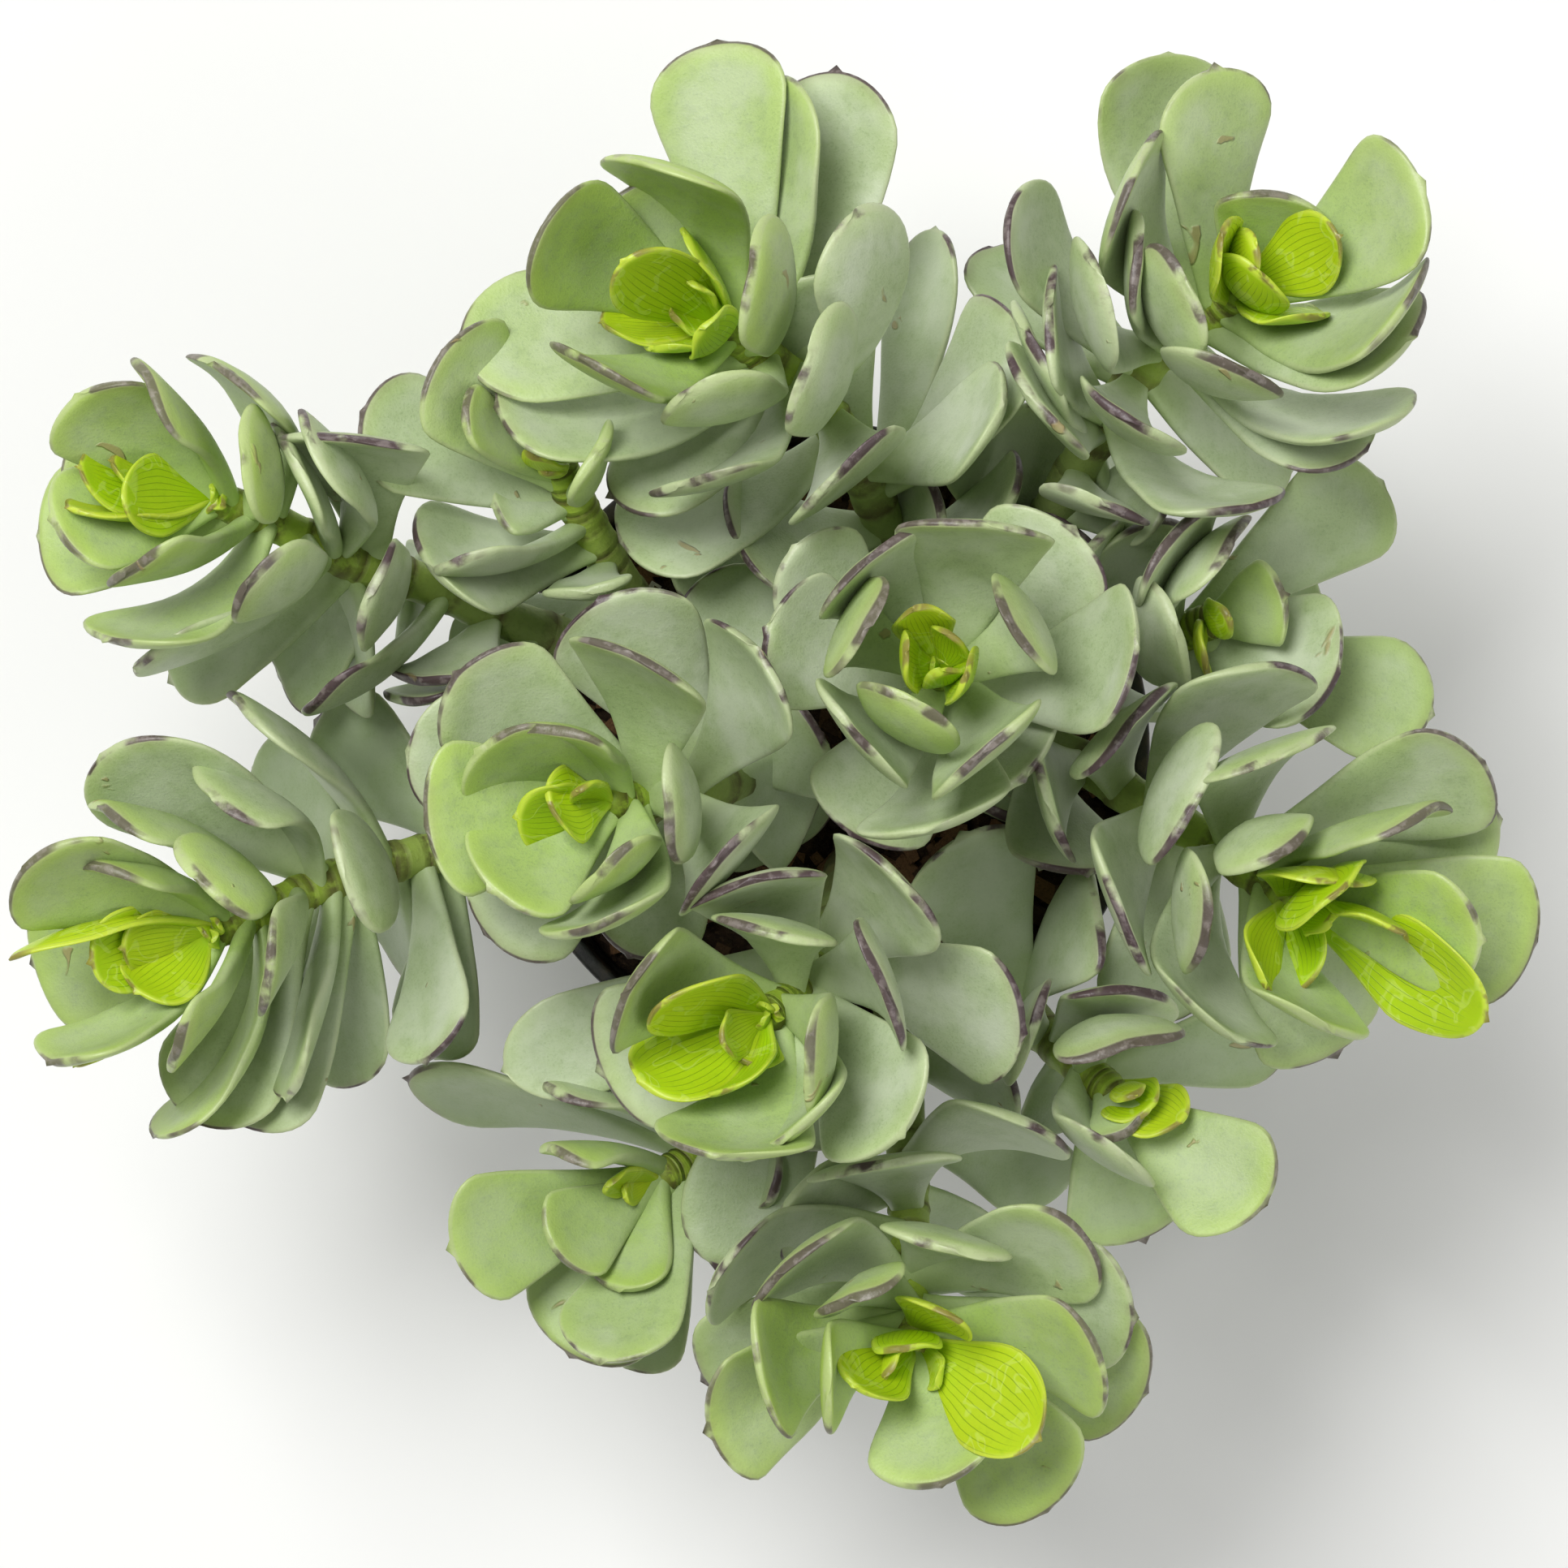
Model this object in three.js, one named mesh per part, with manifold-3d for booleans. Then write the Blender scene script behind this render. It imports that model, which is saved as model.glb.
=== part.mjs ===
// A many-shooted leaf succulent growing in a round nursery pot.
// Millimetres, +Z up. The origin is the centre of the pot's underside, +Y is the back.
import * as THREE from "three";
import { mergeVertices } from "three/addons/utils/BufferGeometryUtils.js";
import Module from "manifold-3d";

const wasm = await Module();
wasm.setup();

// Pot
const POT_HEIGHT = 118;
const POT_BASE_RADIUS = 57;
const POT_RIM_RADIUS = 80;
const POT_WALL = 1.6;
const RIM_DEPTH = 14;
const RIM_STEP = 3;
const FLOOR_LIFT = 2.5;
const FOOT_RING_WIDTH = 6;
const CENTRE_PAD_RADIUS = 20;
const DRAIN_HOLES = 6;
const DRAIN_RADIUS = 4.5;
const DRAIN_RING_RADIUS = 35;
const ROUND_STEPS = 28;

// Soil
const SOIL_TOP = 106;
const SOIL_CROWN = 3;
const FREE_GAP = 0.4;

// Plant
const STEM_RADIUS_LOW = 5.6;
const STEM_RADIUS_TIP = 4;
const ROOT_DEPTH = 16;
const STEM_SIDES = 5;
const LEAF_THICKNESS = 4.4;
const YOUNG_THICKNESS = 2.8;
const BUD_LEAF_LENGTH = 30;
const LIGHT_SEEKING = 0.8;

// The view straight down on the plant in which stems and leaf tips are placed.
// A place is [x, y] in a square view of VIEW_SIZE steps, at a height in millimetres.
const VIEW_SIZE = 1932;
const VIEW_LENGTH = 5925;
const VIEW_EYE = new THREE.Vector3(-10, -9, 1300);

function place(viewX, viewY, height) {
  const scale = (VIEW_EYE.z - height) / VIEW_LENGTH;
  const x = VIEW_EYE.x + (viewX - VIEW_SIZE / 2) * scale;
  const y = VIEW_EYE.y - (viewY - VIEW_SIZE / 2) * scale;
  return new THREE.Vector3(x, y, height);
}

// One leaf: how far along its stem it grows, counted in the stem's points, where its tip
// lies in the view, its length (minus where the tip hangs below the base), its greatest
// width, how its broad end is seen in the view, and how deeply it bows, as a share of its
// length. It is seen as the line from margin to margin, [right, down] in steps of the view,
// as a bare number where only its seen width is known, or as 0 where its end is hidden.
function leaf(along, tip, length, width, seen, bow) {
  return { along, tip, length, width, seen, bow };
}

// Every shoot: its stem from the soil to the bud as [x, y, height], its grown leaves, the
// numbers of the leaves that are pieces of their own, and the young leaves of its crown.
const SHOOTS = {
  back: {
    stem: [
      [1095, 800, 105], [1098, 690, 132], [1075, 610, 150], [1015, 505, 166], [940, 438, 178],
      [885, 398, 186],
    ],
    apart: [1, 3, 10, 12, 18],
    leaves: [
      leaf(4.15, [884, 52], 67, 34, [178, 0], 0.04),
      leaf(4.1, [958, 92], 64, 34, [100, 0], 0.06),
      leaf(3.35, [1030, 88], 72, 37, 0, 0.03),
      leaf(3.2, [1052, 262], 60, 33, [55, 0], 0.16),
      leaf(3.5, [996, 442], 54, 33, [-58, 163], 0.15),
      leaf(4.3, [926, 330], 54, 32, [-23, 167], 0.15),
      leaf(4.7, [790, 200], 58, 36, [175, 62], 0.18),
      leaf(4.9, [668, 280], 58, 33, [-75, 140], 0.18),
      leaf(4.5, [735, 262], 46, 30, 0, 0.05),
      leaf(4.1, [566, 415], 66, 35, 0, 0.03),
      leaf(4.6, [715, 440], 54, 32, [150, 69], 0.16),
      leaf(3.8, [612, 502], 66, 36, [135, 127], 0.16),
      leaf(3.9, [848, 482], 50, 30, [127, -67], 0.15),
      leaf(3.5, [838, 598], 52, 33, [170, -35], 0.16),
      leaf(3.4, [752, 610], -48, 27, 0, 0.05),
      leaf(2.9, [1028, 588], 48, 34, [-130, 120], 0.11),
      leaf(2.2, [978, 345], 56, 34, 0, 0.05),
      leaf(1.9, [1152, 282], 66, 28, [84, 0], 0.05),
      leaf(2.3, [1236, 500], 54, 33, [-50, 157], 0.11),
      leaf(1.9, [1048, 700], -38, 32, 0, 0.05),
      leaf(2.7, [765, 668], 56, 37, [180, 70], 0.11),
      leaf(2, [1262, 405], 58, 36, [78, 75], 0.05),
      leaf(1.1, [1252, 606], 46, 30, [-25, 85], 0.05),
      leaf(1, [1152, 602], 34, 34, 0, 0.05),
      leaf(1.5, [905, 666], 43, 36, 0, 0.05),
      leaf(1.3, [825, 705], 53, 34, 0, 0.05),
    ],
    young: [
      leaf(5, [768, 322], 40, 22, [-86, 67], 0.05),
      leaf(4.95, [740, 398], 29, 17, [8, 56], 0.08),
      leaf(4.9, [804, 430], 22, 16, [88, 8], 0.08),
      leaf(4.85, [862, 405], 22, 16, [48, -60], 0.1),
      leaf(4.8, [843, 288], 31, 18, [42, 85], 0.06),
      leaf(5, [846, 345], 20, 12, 0, 0.1),
      leaf(5, [828, 388], 16, 10, 0, 0.1),
    ],
  },
  back_right: {
    stem: [
      [1225, 770, 105], [1270, 680, 130], [1320, 590, 148], [1370, 505, 162], [1432, 432, 172],
      [1500, 388, 180], [1532, 352, 186],
    ],
    apart: [1, 5, 8, 11, 16],
    leaves: [
      leaf(4.8, [1440, 66], 60, 38, [165, -60], 0.14),
      leaf(5, [1496, 84], 58, 33, 0, 0.03),
      leaf(4.6, [1406, 195], 56, 36, [-75, 175], 0.16),
      leaf(5.4, [1576, 238], 35, 27, [122, 20], 0.12),
      leaf(5.3, [1752, 226], 60, 34, 0, 0.04),
      leaf(5.1, [1738, 368], 58, 34, [-90, 138], 0.16),
      leaf(4.6, [1742, 415], 58, 34, 0, 0.05),
      leaf(4.3, [1730, 512], 60, 36, [-137, 75], 0.16),
      leaf(4.5, [1530, 455], 48, 30, [137, 52], 0.15),
      leaf(3.5, [1398, 520], 48, 31, [130, 85], 0.11),
      leaf(3, [1545, 625], 54, 35, [-157, 37], 0.12),
      leaf(3.6, [1592, 578], -46, 34, 0, 0.05),
      leaf(4.6, [1464, 352], 46, 28, [58, 116], 0.15),
      leaf(4.1, [1403, 305], 46, 30, 0, 0.05),
      leaf(4, [1353, 335], 54, 33, [47, 163], 0.15),
      leaf(3.6, [1245, 252], 60, 34, 0, 0.05),
      leaf(3.4, [1225, 305], -56, 32, 0, 0.05),
      leaf(2.5, [1264, 408], 50, 33, [21, 70], 0.05),
      leaf(2.9, [1292, 385], 50, 33, 0, 0.05),
      leaf(2.7, [1272, 492], 50, 34, [95, 145], 0.05),
      leaf(2.1, [1362, 622], 42, 28, [120, 43], 0.05),
      leaf(2.6, [1390, 628], -38, 30, 0, 0.05),
      leaf(0.9, [1238, 505], 42, 36, 0, 0.05),
      leaf(1.5, [1446, 600], 38, 30, 0, 0.05),
      leaf(4.1, [1684, 556], 54, 30, 0, 0.05),
    ],
    young: [
      leaf(5.9, [1650, 292], 34, 21, [38, 92], 0.05),
      leaf(5.4, [1506, 290], 36, 20, [-34, 90], 0.06),
      leaf(5.9, [1552, 335], 26, 20, 0, 0.14),
      leaf(6, [1548, 300], 24, 16, 0, 0.1),
      leaf(5.6, [1628, 390], 27, 20, [100, -22], 0.06),
    ],
  },
  left_upper: {
    stem: [
      [900, 860, 105], [770, 812, 122], [645, 770, 138], [530, 722, 150], [430, 690, 160],
      [340, 645, 169], [265, 615, 177],
    ],
    apart: [9, 18],
    leaves: [
      leaf(5, [266, 450], 48, 34, [125, 88], 0.18),
      leaf(5.7, [180, 462], 50, 28, 60, 0.06),
      leaf(5.9, [95, 487], 48, 30, 0, 0.05),
      leaf(5.9, [108, 500], 40, 24, [124, -24], 0.1),
      leaf(5.9, [84, 548], 38, 24, 0, 0.05),
      leaf(5.9, [64, 640], 42, 30, 0, 0.06),
      leaf(5.6, [47, 660], -50, 34, 0, 0.04),
      leaf(5.3, [160, 702], 46, 28, 50, 0.05),
      leaf(5.1, [132, 788], 52, 36, [130, 45], 0.15),
      leaf(4.6, [306, 715], 46, 28, [-100, 97], 0.15),
      leaf(4.2, [168, 820], 58, 30, 60, 0.05),
      leaf(3.9, [212, 838], -56, 30, 0, 0.04),
      leaf(4, [415, 850], -42, 35, 0, 0.05),
      leaf(3.5, [452, 738], 46, 29, [-63, 137], 0.1),
      leaf(2.8, [388, 866], 50, 28, 40, 0.05),
      leaf(4.1, [378, 540], 50, 28, [54, 133], 0.16),
      leaf(4.2, [358, 560], 44, 31, 0, 0.05),
      leaf(3.7, [425, 540], 54, 36, [100, 0], 0.15),
      leaf(3.3, [505, 760], -44, 34, 0, 0.05),
      leaf(5.5, [300, 560], 46, 29, [20, 113], 0.15),
      leaf(2.3, [520, 840], 34, 32, 0, 0.05),
      leaf(1.8, [486, 862], 43, 28, [60, 20], 0.04),
      leaf(3.6, [345, 832], -42, 34, 0, 0.04),
    ],
    young: [
      leaf(6, [150, 612], 29, 20, [5, 93], 0.04),
      leaf(6, [97, 576], 36, 19, [14, 85], 0.06),
      leaf(6, [136, 568], 29, 16, [8, 66], 0.06),
      leaf(6, [82, 626], 38, 16, [70, 20], 0.06),
    ],
  },
  left_lower: {
    stem: [
      [900, 985, 105], [770, 1012, 120], [645, 1036, 134], [530, 1052, 146], [430, 1076, 156],
      [340, 1115, 166], [262, 1148, 175],
    ],
    apart: [1, 2, 6, 12],
    leaves: [
      leaf(3.5, [292, 862], 60, 34, 80, 0.05),
      leaf(4.3, [125, 930], 66, 38, 0, 0.03),
      leaf(4, [312, 948], -50, 33, 0, 0.04),
      leaf(5, [125, 995], 54, 31, 55, 0.06),
      leaf(4.4, [258, 978], 50, 31, [140, 115], 0.15),
      leaf(5.7, [30, 1068], 58, 36, 0, 0.03),
      leaf(5.7, [115, 1067], 46, 26, [127, 35], 0.08),
      leaf(5.9, [42, 1187], -50, 34, 0, 0.04),
      leaf(5.8, [62, 1310], 54, 33, [173, -25], 0.15),
      leaf(5.4, [245, 1085], 44, 27, [80, 90], 0.15),
      leaf(5.4, [214, 1300], 46, 28, 50, 0.05),
      leaf(5.2, [190, 1400], 58, 33, [57, -8], 0.15),
      leaf(4.7, [330, 1205], 48, 28, 60, 0.05),
      leaf(4.2, [355, 1352], 54, 29, 60, 0.05),
      leaf(4, [290, 1384], -64, 37, 0, 0.03),
      leaf(3.9, [425, 1085], 50, 30, [50, 146], 0.15),
      leaf(3.1, [526, 1308], 54, 27, 0, 0.05),
      leaf(2.8, [536, 1304], -52, 28, 0, 0.04),
      leaf(3.4, [470, 1158], -40, 32, 0, 0.05),
      leaf(2.6, [390, 890], -52, 34, 0, 0.04),
      leaf(4, [398, 1334], -57, 36, 0, 0.04),
      leaf(4.6, [242, 1384], -61, 34, 0, 0.04),
    ],
    young: [
      leaf(6, [168, 1222], 26, 20, 0, 0.08),
      leaf(6, [150, 1168], 24, 16, 0, 0.08),
      leaf(6, [112, 1186], 32, 20, 0, 0.08),
      leaf(5.8, [12, 1182], 52, 20, 26, 0.08),
      leaf(5.8, [92, 1314], 42, 14, 22, 0.05),
    ],
  },
  middle_left: {
    stem: [
      [955, 958, 105], [915, 962, 140], [855, 974, 172], [795, 984, 194], [755, 986, 204],
    ],
    apart: [1, 15],
    leaves: [
      leaf(2.9, [562, 830], 58, 36, 0, 0.04),
      leaf(3.1, [775, 805], 56, 35, [170, 70], 0.16),
      leaf(2.2, [934, 802], 56, 35, [113, 140], 0.11),
      leaf(2.5, [880, 1064], 56, 34, [-110, 144], 0.16),
      leaf(3, [822, 990], 48, 28, [20, 138], 0.15),
      leaf(3.2, [715, 1148], 50, 33, [150, -35], 0.16),
      leaf(2.9, [598, 1150], -50, 35, 0, 0.04),
      leaf(3.7, [605, 1096], 41, 32, [74, 96], 0.1),
      leaf(3.5, [735, 1080], 44, 26, [-100, 95], 0.16),
      leaf(3.5, [524, 1018], 49, 36, 0, 0.05),
      leaf(3.6, [590, 925], 41, 30, [56, -80], 0.1),
      leaf(3.6, [664, 898], 38, 30, [160, 25], 0.14),
      leaf(2.4, [502, 925], -62, 34, 0, 0.04),
      leaf(1.5, [1005, 995], -34, 35, 0, 0.04),
      leaf(1.6, [740, 738], 58, 36, 0, 0.05),
      leaf(1.2, [985, 1040], -34, 32, 0, 0.04),
      leaf(1.6, [775, 1178], 46, 30, 0, 0.04),
      leaf(0.9, [1012, 905], 28, 30, 0, 0.05),
    ],
    young: [
      leaf(4, [676, 990], 20, 19, [28, 94], 0.02),
      leaf(4, [637, 1006], 24, 19, [-22, 95], 0.02),
      leaf(4, [712, 975], 18, 9, 0, 0.1),
    ],
  },
  middle_right: {
    stem: [
      [1105, 885, 105], [1140, 862, 150], [1168, 845, 185], [1160, 825, 208],
    ],
    apart: [8, 9],
    leaves: [
      leaf(2.3, [1210, 645], 56, 36, [172, 12], 0.16),
      leaf(2.1, [1075, 685], 54, 36, [150, -110], 0.16),
      leaf(2.5, [1066, 778], 44, 26, [-66, 118], 0.32),
      leaf(2.1, [1048, 897], 54, 34, [102, 137], 0.16),
      leaf(2.6, [1125, 862], 38, 27, [112, 62], 0.32),
      leaf(2.3, [1210, 928], 50, 33, [125, -112], 0.16),
      leaf(2.4, [1242, 768], 44, 27, [58, 112], 0.32),
      leaf(1.9, [1402, 800], 56, 36, [-20, 173], 0.15),
      leaf(1.8, [1140, 1024], 52, 37, [187, -52], 0.11),
      leaf(1.6, [1322, 652], 52, 34, 0, 0.04),
      leaf(1.7, [945, 775], 50, 34, 0, 0.04),
      leaf(1, [836, 748], 56, 34, 0, 0.04),
      leaf(1.4, [978, 674], 54, 30, 0, 0.04),
      leaf(1.3, [1050, 1030], 40, 34, 0, 0.05),
      leaf(1.5, [1260, 960], 40, 32, 0, 0.05),
    ],
    young: [
      leaf(3, [1126, 750], 27, 15, [76, -18], 0.1),
      leaf(3, [1117, 805], 26, 15, [6, 80], 0.1),
      leaf(3, [1170, 782], 22, 12, [48, 36], 0.1),
      leaf(2.9, [1190, 832], 28, 15, [-34, 72], 0.08),
      leaf(3, [1162, 826], 18, 11, [50, -12], 0.1),
    ],
  },
  middle_front: {
    stem: [
      [1045, 1065, 105], [1030, 1130, 145], [1003, 1190, 175], [975, 1225, 193],
      [945, 1250, 203],
    ],
    apart: [6, 13],
    leaves: [
      leaf(2.4, [925, 1085], 56, 33, [158, -43], 0.11),
      leaf(1.9, [1110, 1085], 56, 36, [113, 118], 0.1),
      leaf(3, [945, 1150], 46, 30, [143, 38], 0.16),
      leaf(2.6, [1090, 1222], 50, 32, [52, 145], 0.16),
      leaf(2.7, [1112, 1398], 52, 38, 0, 0.05),
      leaf(1.8, [1262, 1272], 56, 38, [0, 175], 0.04),
      leaf(3.5, [880, 1425], 50, 37, [163, 30], 0.18),
      leaf(3.2, [965, 1405], 46, 34, [118, -90], 0.17),
      leaf(3.5, [995, 1320], 42, 28, [-7, 145], 0.15),
      leaf(3.3, [770, 1225], 52, 34, [-65, 150], 0.17),
      leaf(2.9, [740, 1318], -48, 36, 0, 0.05),
      leaf(2.2, [990, 1418], -48, 35, 0, 0.04),
      leaf(1.5, [622, 1318], -68, 27, 0, 0.03),
      leaf(1.2, [884, 1560], -74, 30, 0, 0.03),
    ],
    young: [
      leaf(3.9, [808, 1242], 38, 24, [96, -84], 0.08),
      leaf(4, [787, 1332], 36, 26, [102, 80], 0.08),
      leaf(4, [872, 1350], 28, 24, [95, -20], 0.1),
      leaf(4, [922, 1312], 16, 15, [66, 28], 0.05),
      leaf(4, [890, 1285], 22, 12, 0, 0.1),
    ],
  },
  front: {
    stem: [
      [1085, 1135, 105], [1105, 1265, 125], [1116, 1400, 142], [1120, 1500, 155],
      [1122, 1590, 166], [1126, 1655, 175],
    ],
    apart: [9, 10, 13],
    leaves: [
      leaf(2.9, [1080, 1436], 48, 37, [192, -30], 0.1),
      leaf(3.8, [1172, 1540], 46, 32, [154, 34], 0.15),
      leaf(3.9, [958, 1572], 50, 34, [-115, 122], 0.16),
      leaf(3.2, [875, 1590], 56, 35, [-75, 155], 0.15),
      leaf(4.6, [872, 1762], 56, 37, 0, 0.04),
      leaf(4.5, [937, 1700], 52, 33, [35, 157], 0.16),
      leaf(4.9, [1020, 1722], 42, 26, [5, 127], 0.16),
      leaf(4.3, [1048, 1602], 42, 26, [-120, 62], 0.15),
      leaf(4.7, [1362, 1690], 54, 37, 0, 0.04),
      leaf(4.3, [1412, 1715], -60, 39, 0, 0.03),
      leaf(3.9, [1337, 1522], 52, 36, 0, 0.04),
      leaf(5, [1160, 1830], 38, 33, 0, 0.06),
      leaf(4.8, [1290, 1862], -54, 37, 0, 0.04),
      leaf(2.3, [1285, 1393], 46, 36, [145, 90], 0.1),
      leaf(2, [1312, 1464], -48, 26, 0, 0.04),
      leaf(2.6, [1178, 1570], -44, 32, 0, 0.04),
      leaf(1.3, [1245, 1322], 36, 36, 0, 0.05),
      leaf(2.6, [960, 1500], 40, 30, 0, 0.05),
      leaf(3.9, [868, 1700], -56, 34, 0, 0.04),
      leaf(3.6, [1398, 1622], 57, 36, 0, 0.04),
    ],
    young: [
      leaf(5, [1280, 1772], 45, 26, [-58, 88], 0.03),
      leaf(4.9, [1108, 1664], 20, 17, [92, -4], 0.1),
      leaf(5, [1052, 1708], 32, 21, [78, 68], 0.08),
      leaf(4.7, [1172, 1622], 36, 20, [85, 53], 0.06),
      leaf(5, [1092, 1695], 20, 12, 0, 0.1),
      leaf(5, [1156, 1708], 16, 9, 0, 0.1),
    ],
  },
  front_right: {
    stem: [
      [1160, 1110, 105], [1225, 1205, 120], [1292, 1278, 134], [1340, 1320, 145],
      [1375, 1350, 152],
    ],
    apart: [7],
    leaves: [
      leaf(1.7, [1185, 1030], 54, 36, 0, 0.05),
      leaf(1.9, [1270, 1278], 40, 28, [-53, 139], 0.1),
      leaf(3, [1392, 1288], 40, 32, [117, -30], 0.16),
      leaf(3.3, [1388, 1398], 23, 17, [58, -34], 0.06),
      leaf(2.8, [1392, 1430], 46, 32, [124, 98], 0.16),
      leaf(3.3, [1410, 1526], -42, 37, 0, 0.04),
      leaf(3.7, [1560, 1484], 48, 33, 0, 0.03),
      leaf(2.3, [1310, 1392], -30, 24, 0, 0.05),
      leaf(2.2, [1400, 1220], 40, 30, 0, 0.05),
      leaf(3, [1590, 1270], -54, 24, 0, 0.03),
      leaf(1.5, [1352, 1108], 42, 38, [34, 80], 0.05),
    ],
    young: [
      leaf(3.3, [1418, 1366], 23, 16, [50, -46], 0.06),
      leaf(3.5, [1454, 1384], 26, 19, [84, -58], 0.08),
      leaf(4, [1400, 1350], 16, 9, 0, 0.1),
    ],
  },
  front_left: {
    stem: [
      [1005, 1125, 105], [965, 1240, 118], [905, 1355, 128], [852, 1425, 137],
      [815, 1450, 143],
    ],
    apart: [1, 4],
    leaves: [
      leaf(2.9, [502, 1330], 70, 30, 80, 0.03),
      leaf(2.8, [674, 1340], 48, 26, 45, 0.04),
      leaf(3.6, [677, 1416], 38, 22, 25, 0.04),
      leaf(3.8, [556, 1538], 56, 32, 0, 0.04),
      leaf(3.9, [764, 1590], 32, 20, 0, 0.04),
      leaf(3.9, [682, 1541], 36, 24, 0, 0.05),
      leaf(3.9, [703, 1670], -48, 36, 0, 0.04),
      leaf(3.3, [740, 1678], 56, 32, 0, 0.06),
      leaf(3, [770, 1684], -56, 29, 0, 0.04),
      leaf(1.8, [950, 1480], 40, 18, 0, 0.05),
    ],
    young: [
      leaf(4, [747, 1462], 20, 10, 0, 0.06),
      leaf(4, [770, 1475], 14, 8, 0, 0.1),
    ],
  },
  right: {
    stem: [
      [1140, 965, 105], [1225, 935, 125], [1310, 928, 142], [1400, 985, 156],
      [1480, 1030, 166], [1552, 1082, 174], [1612, 1122, 180],
    ],
    apart: [13, 17],
    leaves: [
      leaf(2.8, [1397, 886], 54, 34, [120, -128], 0.11),
      leaf(2.3, [1295, 996], 52, 33, [43, 163], 0.06),
      leaf(3.5, [1476, 984], 50, 36, [-93, 170], 0.1),
      leaf(4.5, [1592, 926], 50, 37, [175, -72], 0.16),
      leaf(3.4, [1386, 1138], 54, 37, [71, 187], 0.11),
      leaf(3.7, [1430, 1262], -54, 38, 0, 0.04),
      leaf(4.2, [1525, 1282], 54, 38, [170, 113], 0.17),
      leaf(4.4, [1488, 1148], 46, 31, [-13, 164], 0.15),
      leaf(4.7, [1578, 1054], 42, 26, [-113, 68], 0.15),
      leaf(4.6, [1828, 938], 64, 38, 0, 0.03),
      leaf(5, [1768, 995], 54, 30, 70, 0.05),
      leaf(4.8, [1848, 1010], -60, 35, 0, 0.03),
      leaf(5.3, [1893, 1160], 62, 38, 0, 0.03),
      leaf(5.6, [1826, 1158], 50, 32, 0, 0.05),
      leaf(5.1, [1640, 1268], 48, 36, [172, 83], 0.16),
      leaf(4.8, [1645, 1298], -50, 34, 0, 0.04),
      leaf(3.3, [1575, 818], 58, 38, [212, -10], 0.11),
      leaf(1.6, [1338, 1076], 38, 34, 0, 0.05),
      leaf(0.9, [1262, 1012], 30, 32, 0, 0.05),
    ],
    young: [
      leaf(5.8, [1655, 1097], 36, 26, 0, 0.08),
      leaf(5.2, [1604, 1220], 29, 21, [72, -52], 0.06),
      leaf(5.6, [1560, 1216], 36, 20, [50, 80], 0.1),
      leaf(6, [1728, 1150], 34, 18, [120, 50], 0.06),
      leaf(5.9, [1830, 1256], 52, 27, 125, 0.05),
      leaf(6, [1640, 1135], 18, 11, 0, 0.1),
      leaf(5.6, [1642, 1088], 34, 28, [145, 10], 0.12),
    ],
  },
  back_left: {
    stem: [
      [860, 850, 105], [795, 765, 128], [745, 685, 146], [712, 622, 157], [690, 575, 165],
    ],
    apart: [1],
    leaves: [
      leaf(2.9, [446, 508], 58, 32, 0, 0.03),
      leaf(3, [608, 624], 22, 17, 0, 0.05),
      leaf(2.6, [548, 698], 48, 28, 55, 0.05),
      leaf(2.2, [524, 692], 50, 36, [70, 128], 0.1),
      leaf(1.9, [722, 730], 34, 22, 0, 0.05),
      leaf(3.3, [735, 558], 36, 22, 0, 0.05),
      leaf(3.6, [572, 503], 40, 18, 0, 0.05),
      leaf(3.4, [545, 432], 52, 34, 0, 0.04),
      leaf(1.4, [560, 830], -48, 34, 0, 0.04),
    ],
    young: [
      leaf(4, [660, 562], 18, 11, 0, 0.08),
      leaf(4, [690, 556], 14, 8, 0, 0.08),
      leaf(4, [674, 582], 12, 7, 0, 0.08),
    ],
  },
  right_upper: {
    stem: [
      [1205, 872, 105], [1290, 830, 124], [1380, 800, 138], [1450, 782, 148], [1492, 765, 154],
    ],
    apart: [1],
    leaves: [
      leaf(3.1, [1702, 594], 58, 30, 0, 0.03),
      leaf(3.6, [1584, 734], 26, 22, 0, 0.05),
      leaf(3.2, [1628, 738], -40, 31, 0, 0.04),
      leaf(3.3, [1764, 880], 58, 34, 0, 0.03),
      leaf(2.4, [1650, 830], 52, 37, 0, 0.04),
      leaf(2.3, [1450, 772], 46, 31, [53, 110], 0.1),
      leaf(2, [1435, 797], 28, 19, 0, 0.05),
      leaf(2.7, [1455, 650], 46, 32, 0, 0.05),
      leaf(2.9, [1520, 662], 44, 30, [-65, 90], 0.15),
      leaf(1.8, [1340, 680], 44, 32, 0, 0.05),
      leaf(0.9, [1312, 642], 46, 34, [112, 60], 0.05),
      leaf(1.6, [1432, 640], 46, 34, 0, 0.05),
      leaf(1.5, [1402, 882], 30, 30, 0, 0.05),
    ],
    young: [
      leaf(3.8, [1487, 822], 20, 14, 30, 0.06),
      leaf(4, [1515, 760], 20, 11, 0, 0.1),
    ],
  },
};

// Six times the volume inside a part of a triangle mesh.
function volumeOf(points, corners) {
  const [a, b, c] = [new THREE.Vector3(), new THREE.Vector3(), new THREE.Vector3()];
  let sum = 0;
  for (let i = 0; i < corners.length; i += 3) {
    a.fromArray(points, 3 * corners[i]);
    b.fromArray(points, 3 * corners[i + 1]);
    c.fromArray(points, 3 * corners[i + 2]);
    sum += a.dot(b.cross(c));
  }
  return sum;
}

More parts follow.
